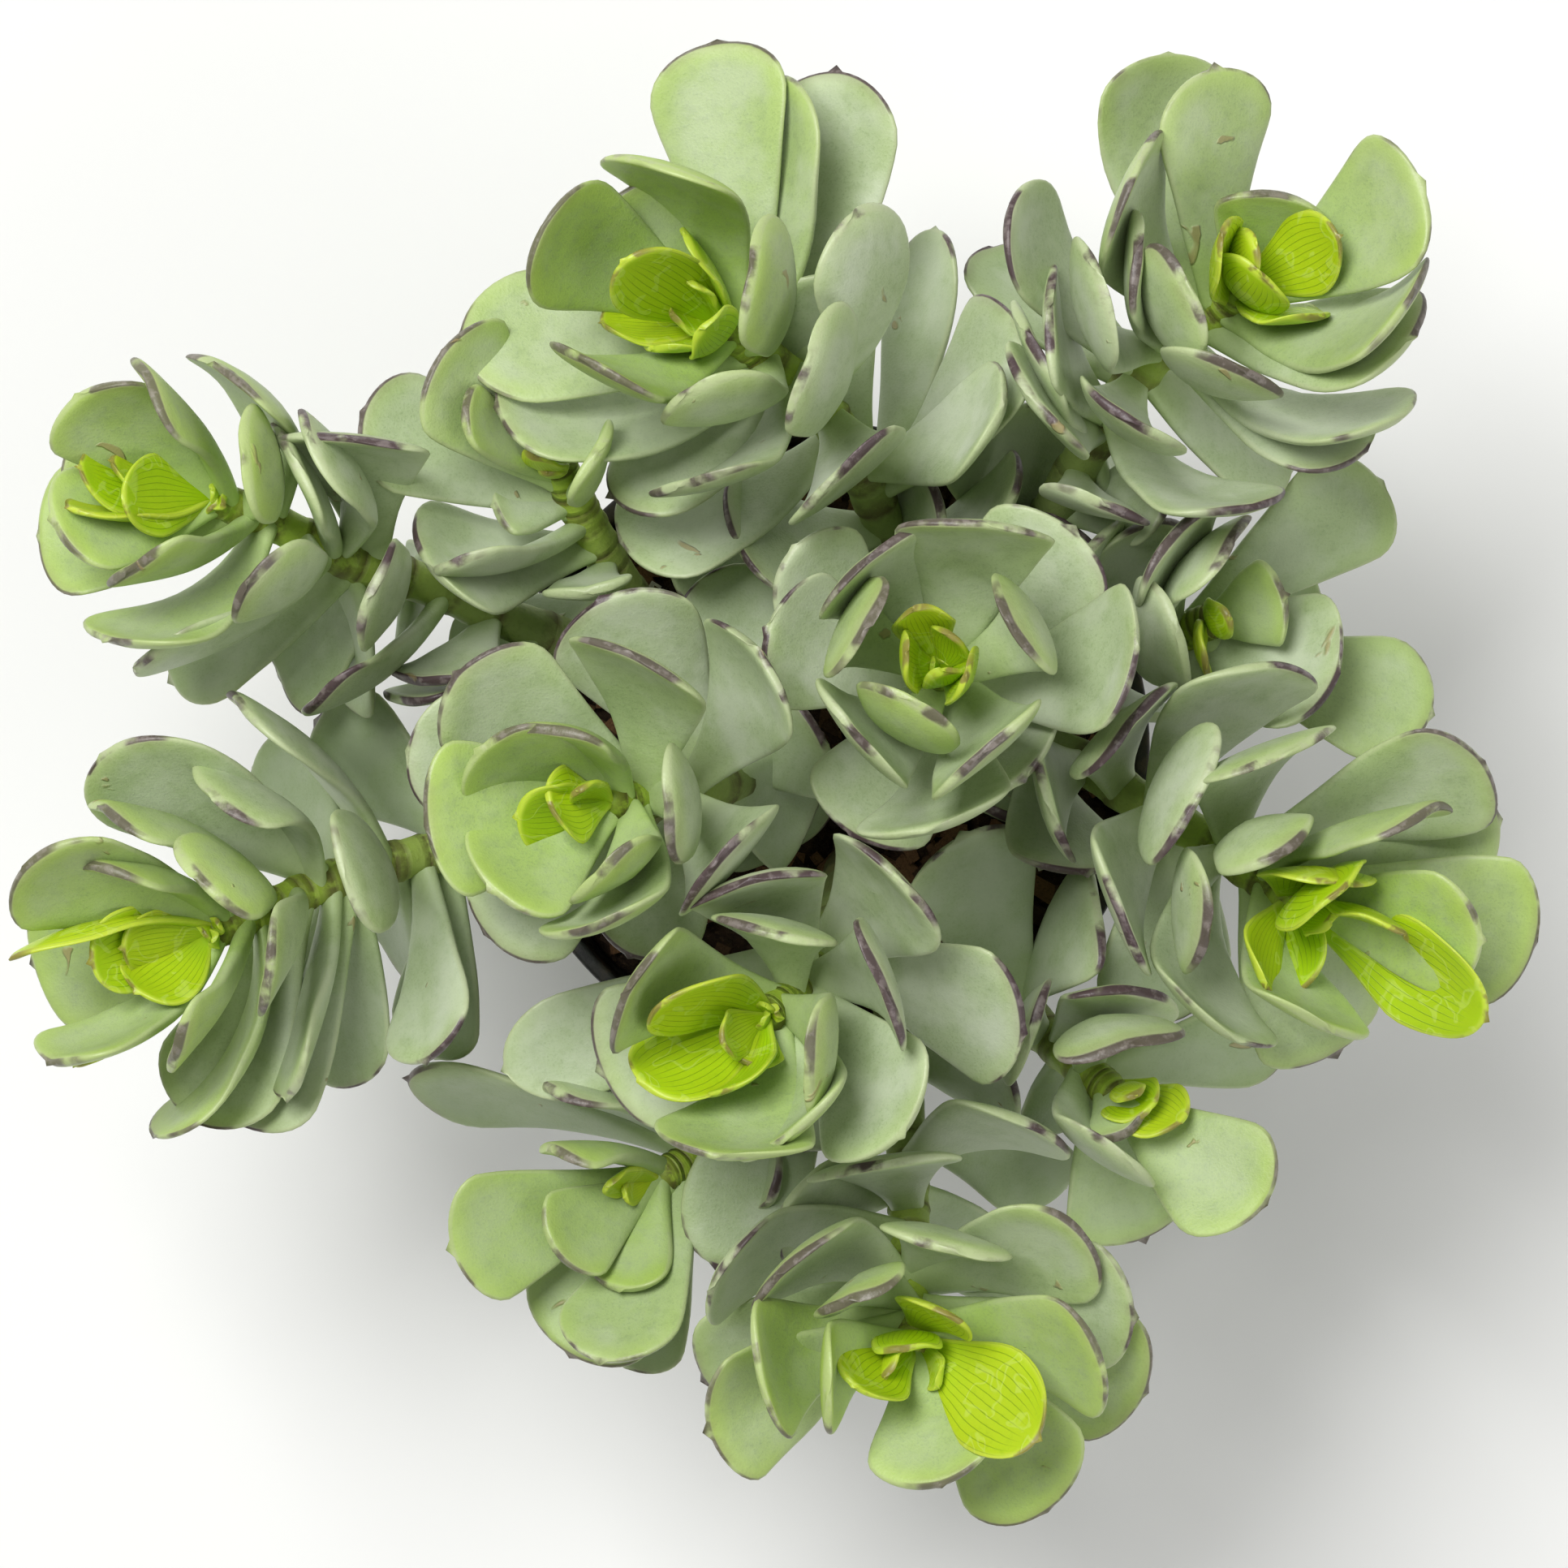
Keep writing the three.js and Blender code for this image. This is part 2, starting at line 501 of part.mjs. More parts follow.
// A closed triangle mesh as a solid with its faces turned out.
function solid(geometry) {
  const bare = new THREE.BufferGeometry();
  bare.setAttribute("position", geometry.getAttribute("position"));
  bare.setIndex(geometry.index);
  const merged = mergeVertices(bare, 1e-4);
  const triVerts = new Uint32Array(merged.index.array);
  const vertProperties = merged.getAttribute("position").array;
  if (volumeOf(vertProperties, triVerts) < 0) {
    for (let i = 0; i < triVerts.length; i += 3) {
      [triVerts[i], triVerts[i + 1]] = [triVerts[i + 1], triVerts[i]];
    }
  }
  return new wasm.Manifold(new wasm.Mesh({ numProp: 3, vertProperties, triVerts }));
}

// The triangles of the largest piece of a mesh, where a cut has left loose ends beside it.
function largestPiece(points, corners) {
  const leader = Array.from({ length: points.length / 3 }, (_, i) => i);
  const find = (i) => {
    let at = i;
    while (leader[at] !== at) at = leader[at] = leader[leader[at]];
    return at;
  };
  for (let i = 0; i < corners.length; i += 3) {
    leader[find(corners[i + 1])] = find(corners[i]);
    leader[find(corners[i + 2])] = find(corners[i]);
  }
  const pieces = new Map();
  for (let i = 0; i < corners.length; i += 3) {
    const own = find(corners[i]);
    if (!pieces.has(own)) pieces.set(own, []);
    pieces.get(own).push(corners[i], corners[i + 1], corners[i + 2]);
  }
  const bySize = [...pieces.values()].sort((p, q) => volumeOf(points, q) - volumeOf(points, p));
  return bySize[0];
}

function geometryOf(body) {
  const mesh = body.getMesh();
  const geometry = new THREE.BufferGeometry();
  geometry.setAttribute("position", new THREE.BufferAttribute(mesh.vertProperties, 3));
  geometry.setIndex(largestPiece(mesh.vertProperties, mesh.triVerts));
  const flat = geometry.toNonIndexed();
  flat.computeVertexNormals();
  return flat;
}

function join(bodies) {
  return bodies.reduce((whole, body) => whole.add(body));
}

// A skin over rings of points, closed by a flat cap at the first ring and a tip point.
function skin(rings, tip) {
  const sides = rings[0].length;
  const points = rings.flat().concat([tip]);
  const faces = [];
  for (let i = 0; i + 1 < rings.length; i += 1) {
    for (let k = 0; k < sides; k += 1) {
      const here = i * sides + k;
      const next = i * sides + ((k + 1) % sides);
      faces.push(here, next, next + sides, here, next + sides, here + sides);
    }
  }
  const last = (rings.length - 1) * sides;
  for (let k = 0; k < sides; k += 1) {
    faces.push(last + k, last + ((k + 1) % sides), points.length - 1);
  }
  for (let k = 1; k + 1 < sides; k += 1) faces.push(0, k + 1, k);
  const geometry = new THREE.BufferGeometry().setFromPoints(points);
  geometry.setIndex(faces);
  return solid(geometry);
}

// Where a stem is at a place along it, and which way it grows there.
function stemPoint(stem, along) {
  const i = Math.min(Math.floor(along), stem.length - 2);
  return stem[i].clone().lerp(stem[i + 1], along - i);
}

function stemDirection(stem, along) {
  const before = stemPoint(stem, Math.max(0, along - 0.5));
  const after = stemPoint(stem, Math.min(stem.length - 1, along + 0.5));
  return after.sub(before).normalize();
}

function stemSolid(stem, grow) {
  const root = stem[0].clone();
  root.z -= ROOT_DEPTH + grow;
  const points = [root, ...stem];
  const rings = points.map((point, i) => {
    const before = points[Math.max(0, i - 1)];
    const after = points[Math.min(points.length - 1, i + 1)];
    const along = after.clone().sub(before).normalize();
    const side = new THREE.Vector3(0.3, 1, 0.1).cross(along).normalize();
    const other = along.clone().cross(side);
    const radius = THREE.MathUtils.lerp(STEM_RADIUS_LOW, STEM_RADIUS_TIP, i / stem.length) + grow;
    const ring = [];
    for (let k = 0; k < STEM_SIDES; k += 1) {
      const angle = (2 * Math.PI * k) / STEM_SIDES;
      const out = side.clone().multiplyScalar(radius * Math.cos(angle));
      ring.push(point.clone().add(out).addScaledVector(other, radius * Math.sin(angle)));
    }
    return ring;
  });
  const last = points.length - 1;
  const end = points[last].clone().sub(points[last - 1]).setLength(STEM_RADIUS_TIP + grow);
  return skin(rings, end.add(points[last]));
}

// The height of a leaf's tip follows from its length and from where the tip is seen.
function tipOf(base, shape) {
  const rise = Math.sign(shape.length);
  let height = base.z;
  let tip = place(...shape.tip, height);
  for (let round = 0; round < 6; round += 1) {
    const across = Math.hypot(tip.x - base.x, tip.y - base.y);
    height = base.z + rise * Math.sqrt(Math.max(0, shape.length ** 2 - across ** 2));
    tip = place(...shape.tip, height);
  }
  return tip;
}

// The twist about its own axis with which a leaf's broad end is seen as it should be.
function twistOf(shape, axis, facing, scale) {
  if (shape.seen === 0) return 0;
  let best = 0;
  let least = Infinity;
  for (let degrees = -88; degrees <= 88; degrees += 4) {
    const turned = facing.clone().applyAxisAngle(axis, THREE.MathUtils.degToRad(degrees));
    const across = axis.clone().cross(turned).multiplyScalar(shape.width);
    let miss = Math.abs(Math.hypot(across.x, across.y) - shape.seen * scale);
    if (Array.isArray(shape.seen)) {
      const [right, down] = shape.seen.map((step) => step * scale);
      const one = Math.hypot(across.x - right, across.y + down);
      const other = Math.hypot(across.x + right, across.y - down);
      miss = Math.min(one, other);
    }
    if (miss + 0.02 * Math.abs(degrees) < least) {
      least = miss + 0.02 * Math.abs(degrees);
      best = THREE.MathUtils.degToRad(degrees);
    }
  }
  return best;
}

// Corners of a leaf's section, as shares of half its width and half its thickness.
const KEELED = [[1, 0.6], [-1, 0.6], [0, -1]];
const LENS = [[1, 0], [0.35, 1], [-0.35, 1], [-1, 0], [0, -1]];

// Stations along a leaf: distance from the base, width and thickness as shares.
const FULL_STATIONS = [
  [0, 0.26, 1.1],
  [0.34, 0.5, 1.0],
  [0.66, 0.97, 0.95],
  [0.92, 0.8, 0.75],
];
const PLAIN_STATIONS = [
  [0, 0.24, 1.1],
  [0.55, 0.8, 1.0],
  [0.88, 0.9, 0.8],
];
const YOUNG_STATIONS = [
  [0, 0.3, 1.1],
  [0.66, 1, 0.9],
];

// A leaf is a thick blade, lens-shaped in section, narrow at its base and broad at its
// end. Its upper face turns to the stem's tip and to the light.
function leafSolid(stem, shape, thickness, section, stations, grow) {
  const base = stemPoint(stem, shape.along);
  const tip = tipOf(base, shape);
  const axis = tip.clone().sub(base).normalize();
  const facing = stemDirection(stem, shape.along).add(new THREE.Vector3(0, 0, LIGHT_SEEKING));
  facing.addScaledVector(axis, -facing.dot(axis)).normalize();
  facing.applyAxisAngle(axis, twistOf(shape, axis, facing, (VIEW_EYE.z - tip.z) / VIEW_LENGTH));
  const across = axis.clone().cross(facing);
  const long = base.distanceTo(tip);
  const rings = stations.map(([share, wide, thick]) => {
    const back = share === 0 ? grow : 0;
    const sag = shape.bow * 4 * share * (1 - share) * long;
    const centre = base.clone().addScaledVector(axis, long * share - back);
    centre.addScaledVector(facing, -sag);
    const halfWide = (wide * shape.width) / 2;
    const halfThick = (thick * thickness) / 2;
    return sectionCorners(section, halfWide, halfThick, grow).map(([out, up]) => centre.clone()
      .addScaledVector(across, out)
      .addScaledVector(facing, up));
  });
  return skin(rings, base.clone().addScaledVector(axis, long + 2 * grow));
}

// The corners of a section in millimetres. A grown one is larger on every side, and its
// sharp edges are blunt.
function sectionCorners(section, halfWide, halfThick, grow) {
  return section.flatMap(([out, up]) => {
    const x = out * halfWide + Math.sign(out) * grow;
    const y = up * halfThick;
    if (grow === 0) return [[x, y]];
    if (Math.abs(out) < 1) return [[x, y + Math.sign(up) * 1.4 * grow]];
    const side = Math.sign(out);
    return [[x, y - side * 1.4 * grow], [x, y + side * 1.4 * grow]];
  });
}

// A pot's wall and floor in one turned section.
const FLOOR_TOP = FLOOR_LIFT + POT_WALL + 0.4;
const RIM_FOOT = POT_HEIGHT - RIM_DEPTH;
const WALL_TOP_RADIUS = POT_RIM_RADIUS - RIM_STEP;
const RIM_INSIDE = POT_RIM_RADIUS - 3.8;

function potSection() {
  const ringInside = POT_BASE_RADIUS - FOOT_RING_WIDTH;
  return [
    [0, 0],
    [CENTRE_PAD_RADIUS, 0],
    [CENTRE_PAD_RADIUS + 1, FLOOR_LIFT],
    [ringInside - 1, FLOOR_LIFT],
    [ringInside, 0],
    [POT_BASE_RADIUS, 0],
    [WALL_TOP_RADIUS, RIM_FOOT],
    [POT_RIM_RADIUS, RIM_FOOT + 0.6],
    [POT_RIM_RADIUS, POT_HEIGHT - 1],
    [POT_RIM_RADIUS - 1, POT_HEIGHT],
    [RIM_INSIDE + 0.6, POT_HEIGHT],
    [RIM_INSIDE, RIM_FOOT + POT_WALL],
    [WALL_TOP_RADIUS - POT_WALL, RIM_FOOT - 1],
    [POT_BASE_RADIUS - POT_WALL + 0.6, FLOOR_TOP],
    [0, FLOOR_TOP],
  ].map(([radius, height]) => new THREE.Vector2(radius, height));
}

// The space that the wall and the rim need, a little thicker than they are.
function potKeepOut() {
  const low = RIM_FOOT - 20;
  const slope = (WALL_TOP_RADIUS - POT_BASE_RADIUS) / RIM_FOOT;
  const wallLow = POT_BASE_RADIUS + slope * low;
  return [
    [wallLow - POT_WALL - 2 * FREE_GAP, low],
    [wallLow + FREE_GAP, low],
    [WALL_TOP_RADIUS + FREE_GAP, RIM_FOOT - FREE_GAP],
    [POT_RIM_RADIUS + FREE_GAP, RIM_FOOT - FREE_GAP],
    [POT_RIM_RADIUS + FREE_GAP, POT_HEIGHT + FREE_GAP],
    [RIM_INSIDE - FREE_GAP, POT_HEIGHT + FREE_GAP],
    [RIM_INSIDE - FREE_GAP, RIM_FOOT + POT_WALL - FREE_GAP],
    [WALL_TOP_RADIUS - POT_WALL - 2 * FREE_GAP, RIM_FOOT - 1],
    [wallLow - POT_WALL - 2 * FREE_GAP, low],
  ].map(([radius, height]) => new THREE.Vector2(radius, height));
}

function turned(section) {
  const geometry = new THREE.LatheGeometry(section, ROUND_STEPS);
  geometry.rotateX(Math.PI / 2);
  return solid(geometry);
}

function potSolid() {
  let pot = turned(potSection());
  for (let k = 0; k < DRAIN_HOLES; k += 1) {
    const angle = (2 * Math.PI * k) / DRAIN_HOLES;
    const drill = new THREE.CylinderGeometry(DRAIN_RADIUS, DRAIN_RADIUS, 30, 6);
    drill.rotateX(Math.PI / 2);
    drill.translate(DRAIN_RING_RADIUS * Math.cos(angle), DRAIN_RING_RADIUS * Math.sin(angle), 0);
    pot = pot.subtract(solid(drill));
  }
  return pot;
}

function soilSolid() {
  const low = FLOOR_TOP + FREE_GAP;
  const slope = (WALL_TOP_RADIUS - POT_BASE_RADIUS) / RIM_FOOT;
  const inside = (height) => POT_BASE_RADIUS - POT_WALL + slope * height - 2 * FREE_GAP;
  const section = [
    [0, low],
    [inside(low), low],
    [inside(SOIL_TOP - 5), SOIL_TOP - 5],
    [inside(SOIL_TOP) * 0.8, SOIL_TOP],
    [0, SOIL_TOP + SOIL_CROWN],
  ];
  return turned(section.map(([radius, height]) => new THREE.Vector2(radius, height)));
}

const COLOURS = {
  pot: [0x17171a, 0.42],
  soil: [0x2b2119, 0.95],
  shoot: [0x7f9a72, 0.55],
  leaf: [0x8aa37c, 0.5],
};

// The plant. Each piece is cut clear of the pieces before it, so that pieces that touch
// keep a small gap.
const plant = new THREE.Group();
const keepOuts = [];

function addPiece(name, kind, body, keepOut) {
  const free = keepOuts.reduce((left, other) => left.subtract(other), body);
  const [color, roughness] = COLOURS[kind];
  const material = new THREE.MeshStandardMaterial({ color, roughness, metalness: 0 });
  const mesh = new THREE.Mesh(geometryOf(free), material);
  mesh.name = name;
  plant.add(mesh);
  keepOuts.push(keepOut);
}

addPiece("pot", "pot", potSolid(), turned(potKeepOut()));

for (const [name, shoot] of Object.entries(SHOOTS)) {
  const stem = shoot.stem.map((point) => place(...point));
  const grownOn = shoot.leaves.filter((shape, i) => !shoot.apart.includes(i + 1));
  const unfolded = shoot.young.filter((shape) => shape.length >= BUD_LEAF_LENGTH);
  const grown = (shape, grow) => leafSolid(stem, shape, LEAF_THICKNESS, KEELED, PLAIN_STATIONS, grow);
  const young = (shape, grow) => leafSolid(stem, shape, YOUNG_THICKNESS, KEELED, YOUNG_STATIONS, grow);
  const whole = (grow) => join([
    stemSolid(stem, grow),
    ...grownOn.map((shape) => grown(shape, grow)),
    ...unfolded.map((shape) => young(shape, grow)),
  ]);
  addPiece(`shoot_${name}`, "shoot", whole(0), whole(FREE_GAP));
}

for (const [name, shoot] of Object.entries(SHOOTS)) {
  const stem = shoot.stem.map((point) => place(...point));
  for (const number of shoot.apart) {
    const shape = shoot.leaves[number - 1];
    const blade = (grow) => leafSolid(stem, shape, LEAF_THICKNESS, LENS, FULL_STATIONS, grow);
    addPiece(`leaf_${name}_${number}`, "leaf", blade(0), blade(FREE_GAP));
  }
}

addPiece("soil", "soil", soilSolid(), soilSolid());

export default plant;
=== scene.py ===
import math
import random

import bpy
import numpy as np
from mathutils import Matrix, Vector, noise


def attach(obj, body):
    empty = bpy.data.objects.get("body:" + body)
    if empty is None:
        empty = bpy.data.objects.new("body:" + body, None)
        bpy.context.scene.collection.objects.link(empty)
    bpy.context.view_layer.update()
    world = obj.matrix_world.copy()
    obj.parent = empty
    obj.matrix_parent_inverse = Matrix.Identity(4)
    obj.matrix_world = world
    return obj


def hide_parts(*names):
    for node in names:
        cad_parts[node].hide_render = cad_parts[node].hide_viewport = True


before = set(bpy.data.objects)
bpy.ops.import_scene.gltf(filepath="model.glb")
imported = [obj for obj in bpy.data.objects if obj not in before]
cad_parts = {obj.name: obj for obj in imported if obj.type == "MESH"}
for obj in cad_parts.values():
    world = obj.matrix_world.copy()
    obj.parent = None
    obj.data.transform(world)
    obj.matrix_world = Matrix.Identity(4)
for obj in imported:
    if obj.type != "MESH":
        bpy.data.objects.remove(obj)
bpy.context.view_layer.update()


# Pot. One injection moulding in black polypropylene, tapered so that it slips out of its
# tool, with a stiff rolled rim, a foot ring, a centre pad and six drain holes.
POT_HEIGHT = 0.118
POT_BASE = 0.057
POT_RIM = 0.080
WALL_TOP = 0.077
RIM_FOOT = 0.104
RIM_INSIDE = 0.0762
WALL = 0.0016
FLOOR_LIFT = 0.0025
FLOOR_TOP = 0.0045
PAD_RADIUS = 0.020
FOOT_INSIDE = 0.051
DRAIN_HOLES = 6
DRAIN_RING = 0.035
DRAIN_RADIUS = 0.0045
DRILL_REACH = 0.01
DRILL_ROUND = 24
AXIS_HOLE = 0.0002
EDGE_ROUNDING = 0.0011
POT_ROUND = 144


def paint(shade):
    """A colour written as six hex digits, in the linear values that a shader takes."""
    parts = [int(shade[i:i + 2], 16) / 255 for i in (0, 2, 4)]
    return tuple(((c + 0.055) / 1.055) ** 2.4 if c > 0.04 else c / 12.92 for c in parts) + (1,)


class Value:
    """One socket of a material, with which sums and products are written as they are read."""

    def __init__(self, socket):
        self.socket = socket

    @staticmethod
    def node(tree, kind, settings, sockets, out=0):
        made = tree.nodes.new(kind)
        for name, value in settings.items():
            setattr(made, name, value)
        for name, value in sockets.items():
            if isinstance(value, Value):
                tree.links.new(value.socket, made.inputs[name])
            else:
                made.inputs[name].default_value = value
        return Value(made.outputs[out])

    def math(self, operation, *others):
        values = dict(enumerate((self,) + others))
        return Value.node(self.socket.id_data, "ShaderNodeMath", {"operation": operation}, values)

    def __add__(self, other):
        return self.math("ADD", other)

    def __sub__(self, other):
        return self.math("SUBTRACT", other)

    def __mul__(self, other):
        return self.math("MULTIPLY", other)

    def __rsub__(self, other):
        return (self * -1) + other

    __radd__ = __add__

    def rise(self, low, high):
        """0 below low, 1 above high and smooth between them, or falling where high is lower."""
        sockets = {0: self, 1: low, 2: high, 3: 0.0, 4: 1.0}
        settings = {"interpolation_type": "SMOOTHSTEP"}
        return Value.node(self.socket.id_data, "ShaderNodeMapRange", settings, sockets)


class Finish:
    """A material with one surface shader, and the textures that its finish is made of."""

    def __init__(self, name, **fixed):
        self.material = bpy.data.materials.new(name)
        self.material.use_nodes = True
        self.tree = self.material.node_tree
        self.shader = self.tree.nodes["Principled BSDF"]
        for socket, value in fixed.items():
            self.shader.inputs[socket.replace("_", " ")].default_value = value
        self.place = Value.node(self.tree, "ShaderNodeTexCoord", {}, {}, "Object")

    def read(self, name):
        """A number that the mesh carries at each of its points."""
        return Value.node(self.tree, "ShaderNodeAttribute", {"attribute_name": name}, {}, "Fac")

    def cloud(self, per_metre, detail=3.0, rough=0.55, warp=0.0, place=None):
        sockets = {"Vector": place or self.place, "Scale": per_metre, "Detail": detail,
                   "Roughness": rough, "Distortion": warp}
        return Value.node(self.tree, "ShaderNodeTexNoise", {}, sockets, "Fac")

    def blend(self, mask, one, other):
        settings = {"data_type": "RGBA", "clamp_factor": True}
        sockets = {0: mask, 6: one, 7: other}
        return Value.node(self.tree, "ShaderNodeMix", settings, sockets, 2)

    def use(self, socket, value):
        self.tree.links.new(value.socket, self.shader.inputs[socket])

    def relief(self, height, depth, strength=1.0):
        sockets = {"Height": height, "Distance": depth, "Strength": strength}
        self.use("Normal", Value.node(self.tree, "ShaderNodeBump", {}, sockets))


def piece(name, points, faces, finish, carried=(), smooth=True):
    """A mesh object that rides with the plant. carried holds its numbers at each point."""
    mesh = bpy.data.meshes.new(name)
    mesh.from_pydata([tuple(p) for p in points], [], [tuple(f) for f in faces])
    mesh.polygons.foreach_set("use_smooth", [smooth] * len(mesh.polygons))
    for key, values in dict(carried).items():
        mesh.attributes.new(key, "FLOAT", "POINT").data.foreach_set("value", values)
    mesh.materials.append(finish.material)
    made = bpy.data.objects.new(name, mesh)
    bpy.context.collection.objects.link(made)
    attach(made, "root")
    return made


def circle(radius, height, steps):
    """Points of a level ring round the upright axis."""
    angles = [2 * math.pi * k / steps for k in range(steps)]
    return [(radius * math.cos(a), radius * math.sin(a), height) for a in angles]


def quads(rings, steps):
    """Faces between rings of points that follow one another."""
    faces = []
    for first in range(0, (rings - 1) * steps, steps):
        for k in range(steps):
            a = first + k
            b = first + (k + 1) % steps
            faces.append((a, b, b + steps, a + steps))
    return faces


def shell(rings, steps):
    """The same faces, with the first and the last ring closed by a flat one."""
    last = (rings - 1) * steps
    return quads(rings, steps) + [tuple(reversed(range(steps))), tuple(range(last, last + steps))]


def turned(profile, steps):
    """Points and faces of a profile of (radius, height) turned round the upright axis."""
    points = [point for radius, height in profile for point in circle(radius, height, steps)]
    return points, shell(len(profile), steps)


def rounded(corners, radius, steps=4):
    """A profile with each inner corner replaced by a short arc-like curve."""
    out = [corners[0]]
    for before, here, after in zip(corners, corners[1:], corners[2:]):
        p, q, r = Vector(before), Vector(here), Vector(after)
        reach = min(radius, (q - p).length / 2.2, (r - q).length / 2.2)
        start = q + (p - q).normalized() * reach
        end = q + (r - q).normalized() * reach
        for i in range(steps + 1):
            t = i / steps
            out.append(tuple((1 - t) ** 2 * start + 2 * t * (1 - t) * q + t * t * end))
    return out + [corners[-1]]


pot_plastic = Finish("black_moulded_plastic", IOR=1.49)
dust = pot_plastic.cloud(38, 5, 0.6).rise(0.48, 0.78)
streak = pot_plastic.cloud(260, 3).rise(0.5, 0.8)
grain = pot_plastic.cloud(2600, 2)
height = Value.node(pot_plastic.tree, "ShaderNodeSeparateXYZ", {}, {0: pot_plastic.place}, "Z")
splash = height.rise(0.085, 0.116) * pot_plastic.cloud(120, 6, 0.65).rise(0.46, 0.66)
skin = pot_plastic.blend(dust * 0.55, paint("1b1b1d"), paint("3a3936"))
skin = pot_plastic.blend(streak * 0.25, skin, paint("48463f"))
skin = pot_plastic.blend(splash * 0.6, skin, paint("4a3d30"))
pot_plastic.use("Base Color", skin)
pot_plastic.use("Roughness", 0.36 + dust * 0.22 + splash * 0.2 + grain * 0.06)
pot_plastic.relief(grain + streak * 0.5, 0.00012, 0.6)

pot_profile = rounded([
    (AXIS_HOLE, 0), (PAD_RADIUS, 0), (PAD_RADIUS + 0.001, FLOOR_LIFT),
    (FOOT_INSIDE - 0.001, FLOOR_LIFT), (FOOT_INSIDE, 0),
    (POT_BASE, 0), (WALL_TOP, RIM_FOOT), (POT_RIM, RIM_FOOT + 0.0004), (POT_RIM, POT_HEIGHT),
    (RIM_INSIDE, POT_HEIGHT), (RIM_INSIDE, RIM_FOOT + WALL), (WALL_TOP - WALL, RIM_FOOT - 0.001),
    (POT_BASE - WALL + 0.0006, FLOOR_TOP), (AXIS_HOLE, FLOOR_TOP),
], EDGE_ROUNDING)
points, faces = turned(pot_profile, POT_ROUND)
pot = piece("pot_shell", points, faces, pot_plastic)
for x, y, _ in circle(DRAIN_RING, 0, DRAIN_HOLES):
    bit = [(DRAIN_RADIUS, -DRILL_REACH), (DRAIN_RADIUS, DRILL_REACH)]
    points, faces = turned(bit, DRILL_ROUND)
    drill_mesh = bpy.data.meshes.new("drill")
    drill_mesh.from_pydata([(a + x, b + y, c) for a, b, c in points], [], faces)
    drill = bpy.data.objects.new("drill", drill_mesh)
    bpy.context.collection.objects.link(drill)
    cut = pot.modifiers.new("drain", "BOOLEAN")
    cut.operation = "DIFFERENCE"
    cut.object = drill
    bpy.context.view_layer.update()
    evaluated = pot.evaluated_get(bpy.context.evaluated_depsgraph_get())
    drilled = bpy.data.meshes.new_from_object(evaluated)
    pot.modifiers.remove(cut)
    pot.data = drilled
    bpy.data.objects.remove(drill)
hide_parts("pot")


# Soil. Dark peat and composted bark that was pressed into the pot by hand and has settled,
# with chips of bark and a few white grains of perlite lying on it.
SOIL_TOP = 0.106
SOIL_CROWN = 0.003
SOIL_SLUMP = 0.004
SLUMP_FROM = 0.72
SOIL_SUNK = 0.0012
SOIL_GAP = 0.0005
CLOD_HEIGHT = 0.0022
SOIL_RINGS = 46
SOIL_ROUND = 150

earth = Finish("peat_and_bark", Specular_IOR_Level=0.25)
clods = earth.cloud(170, 6, 0.7)
crumbs = earth.cloud(900, 4, 0.6)
tone = earth.blend(clods.rise(0.35, 0.7), paint("1c140e"), paint("3d2c1f"))
tone = earth.blend(crumbs.rise(0.55, 0.75) * 0.6, tone, paint("5a4532"))
earth.use("Base Color", tone)
earth.use("Roughness", 0.86 + clods * 0.12)
earth.relief(clods + crumbs * 0.6, 0.0016)


def inside(height):
    """The radius of the soil where the pot's wall holds it."""
    slope = (WALL_TOP - POT_BASE) / RIM_FOOT
    return POT_BASE - WALL + slope * height - SOIL_GAP


def surface(share):
    """How high the soil lies, by the share of its area that is nearer to the middle."""
    slump = SOIL_SLUMP * max(0, (share - SLUMP_FROM) / (1 - SLUMP_FROM)) ** 2
    return SOIL_TOP + SOIL_CROWN * (1 - share) - slump


points = []
for i in range(SOIL_RINGS + 1):
    share = i / SOIL_RINGS
    radius = (inside(SOIL_TOP) - 0.0004) * math.sqrt(share) if i else 0.0003
    for x, y, _ in circle(radius, 0, SOIL_ROUND):
        bump = noise.fractal(Vector((x, y, 0)) * 90, 1.0, 2.0, 5) * CLOD_HEIGHT
        points.append((x, y, surface(share) + bump - SOIL_SUNK))
for height in (0.070, 0.035, 0.0055):
    points += circle(inside(height), height, SOIL_ROUND)
faces = [face[::-1] for face in shell(len(points) // SOIL_ROUND, SOIL_ROUND)]
soil = piece("soil_plug", points, faces, earth)
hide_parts("soil")

CHIPS = 760
CHIPS_RADIUS = 0.0725
SOIL_RADIUS = 0.0745
PERLITE_FROM = 0.88
CHIP_CORNERS = [(i, j, k) for k in (-1, 1) for i, j in ((-1, -1), (1, -1), (1, 1), (-1, 1))]
CHIP_FACES = ((3, 2, 1, 0), (4, 5, 6, 7), (0, 1, 5, 4), (1, 2, 6, 5), (2, 3, 7, 6), (3, 0, 4, 7))

chip_finish = Finish("bark_chips_and_perlite", Specular_IOR_Level=0.3)
kind = chip_finish.read("kind")
fibre = chip_finish.cloud(1500, 4, 0.7, 0.4)
bark = chip_finish.blend(kind.rise(0.0, 0.8), paint("2b1d13"), paint("6f5034"))
bark = chip_finish.blend(fibre.rise(0.45, 0.7) * 0.5, bark, paint("1d130c"))
bark = chip_finish.blend(kind.rise(0.86, 0.9), bark, paint("d8d4c8"))
chip_finish.use("Base Color", bark)
chip_finish.use("Roughness", 0.7 + fibre * 0.25)
chip_finish.relief(fibre, 0.0005)

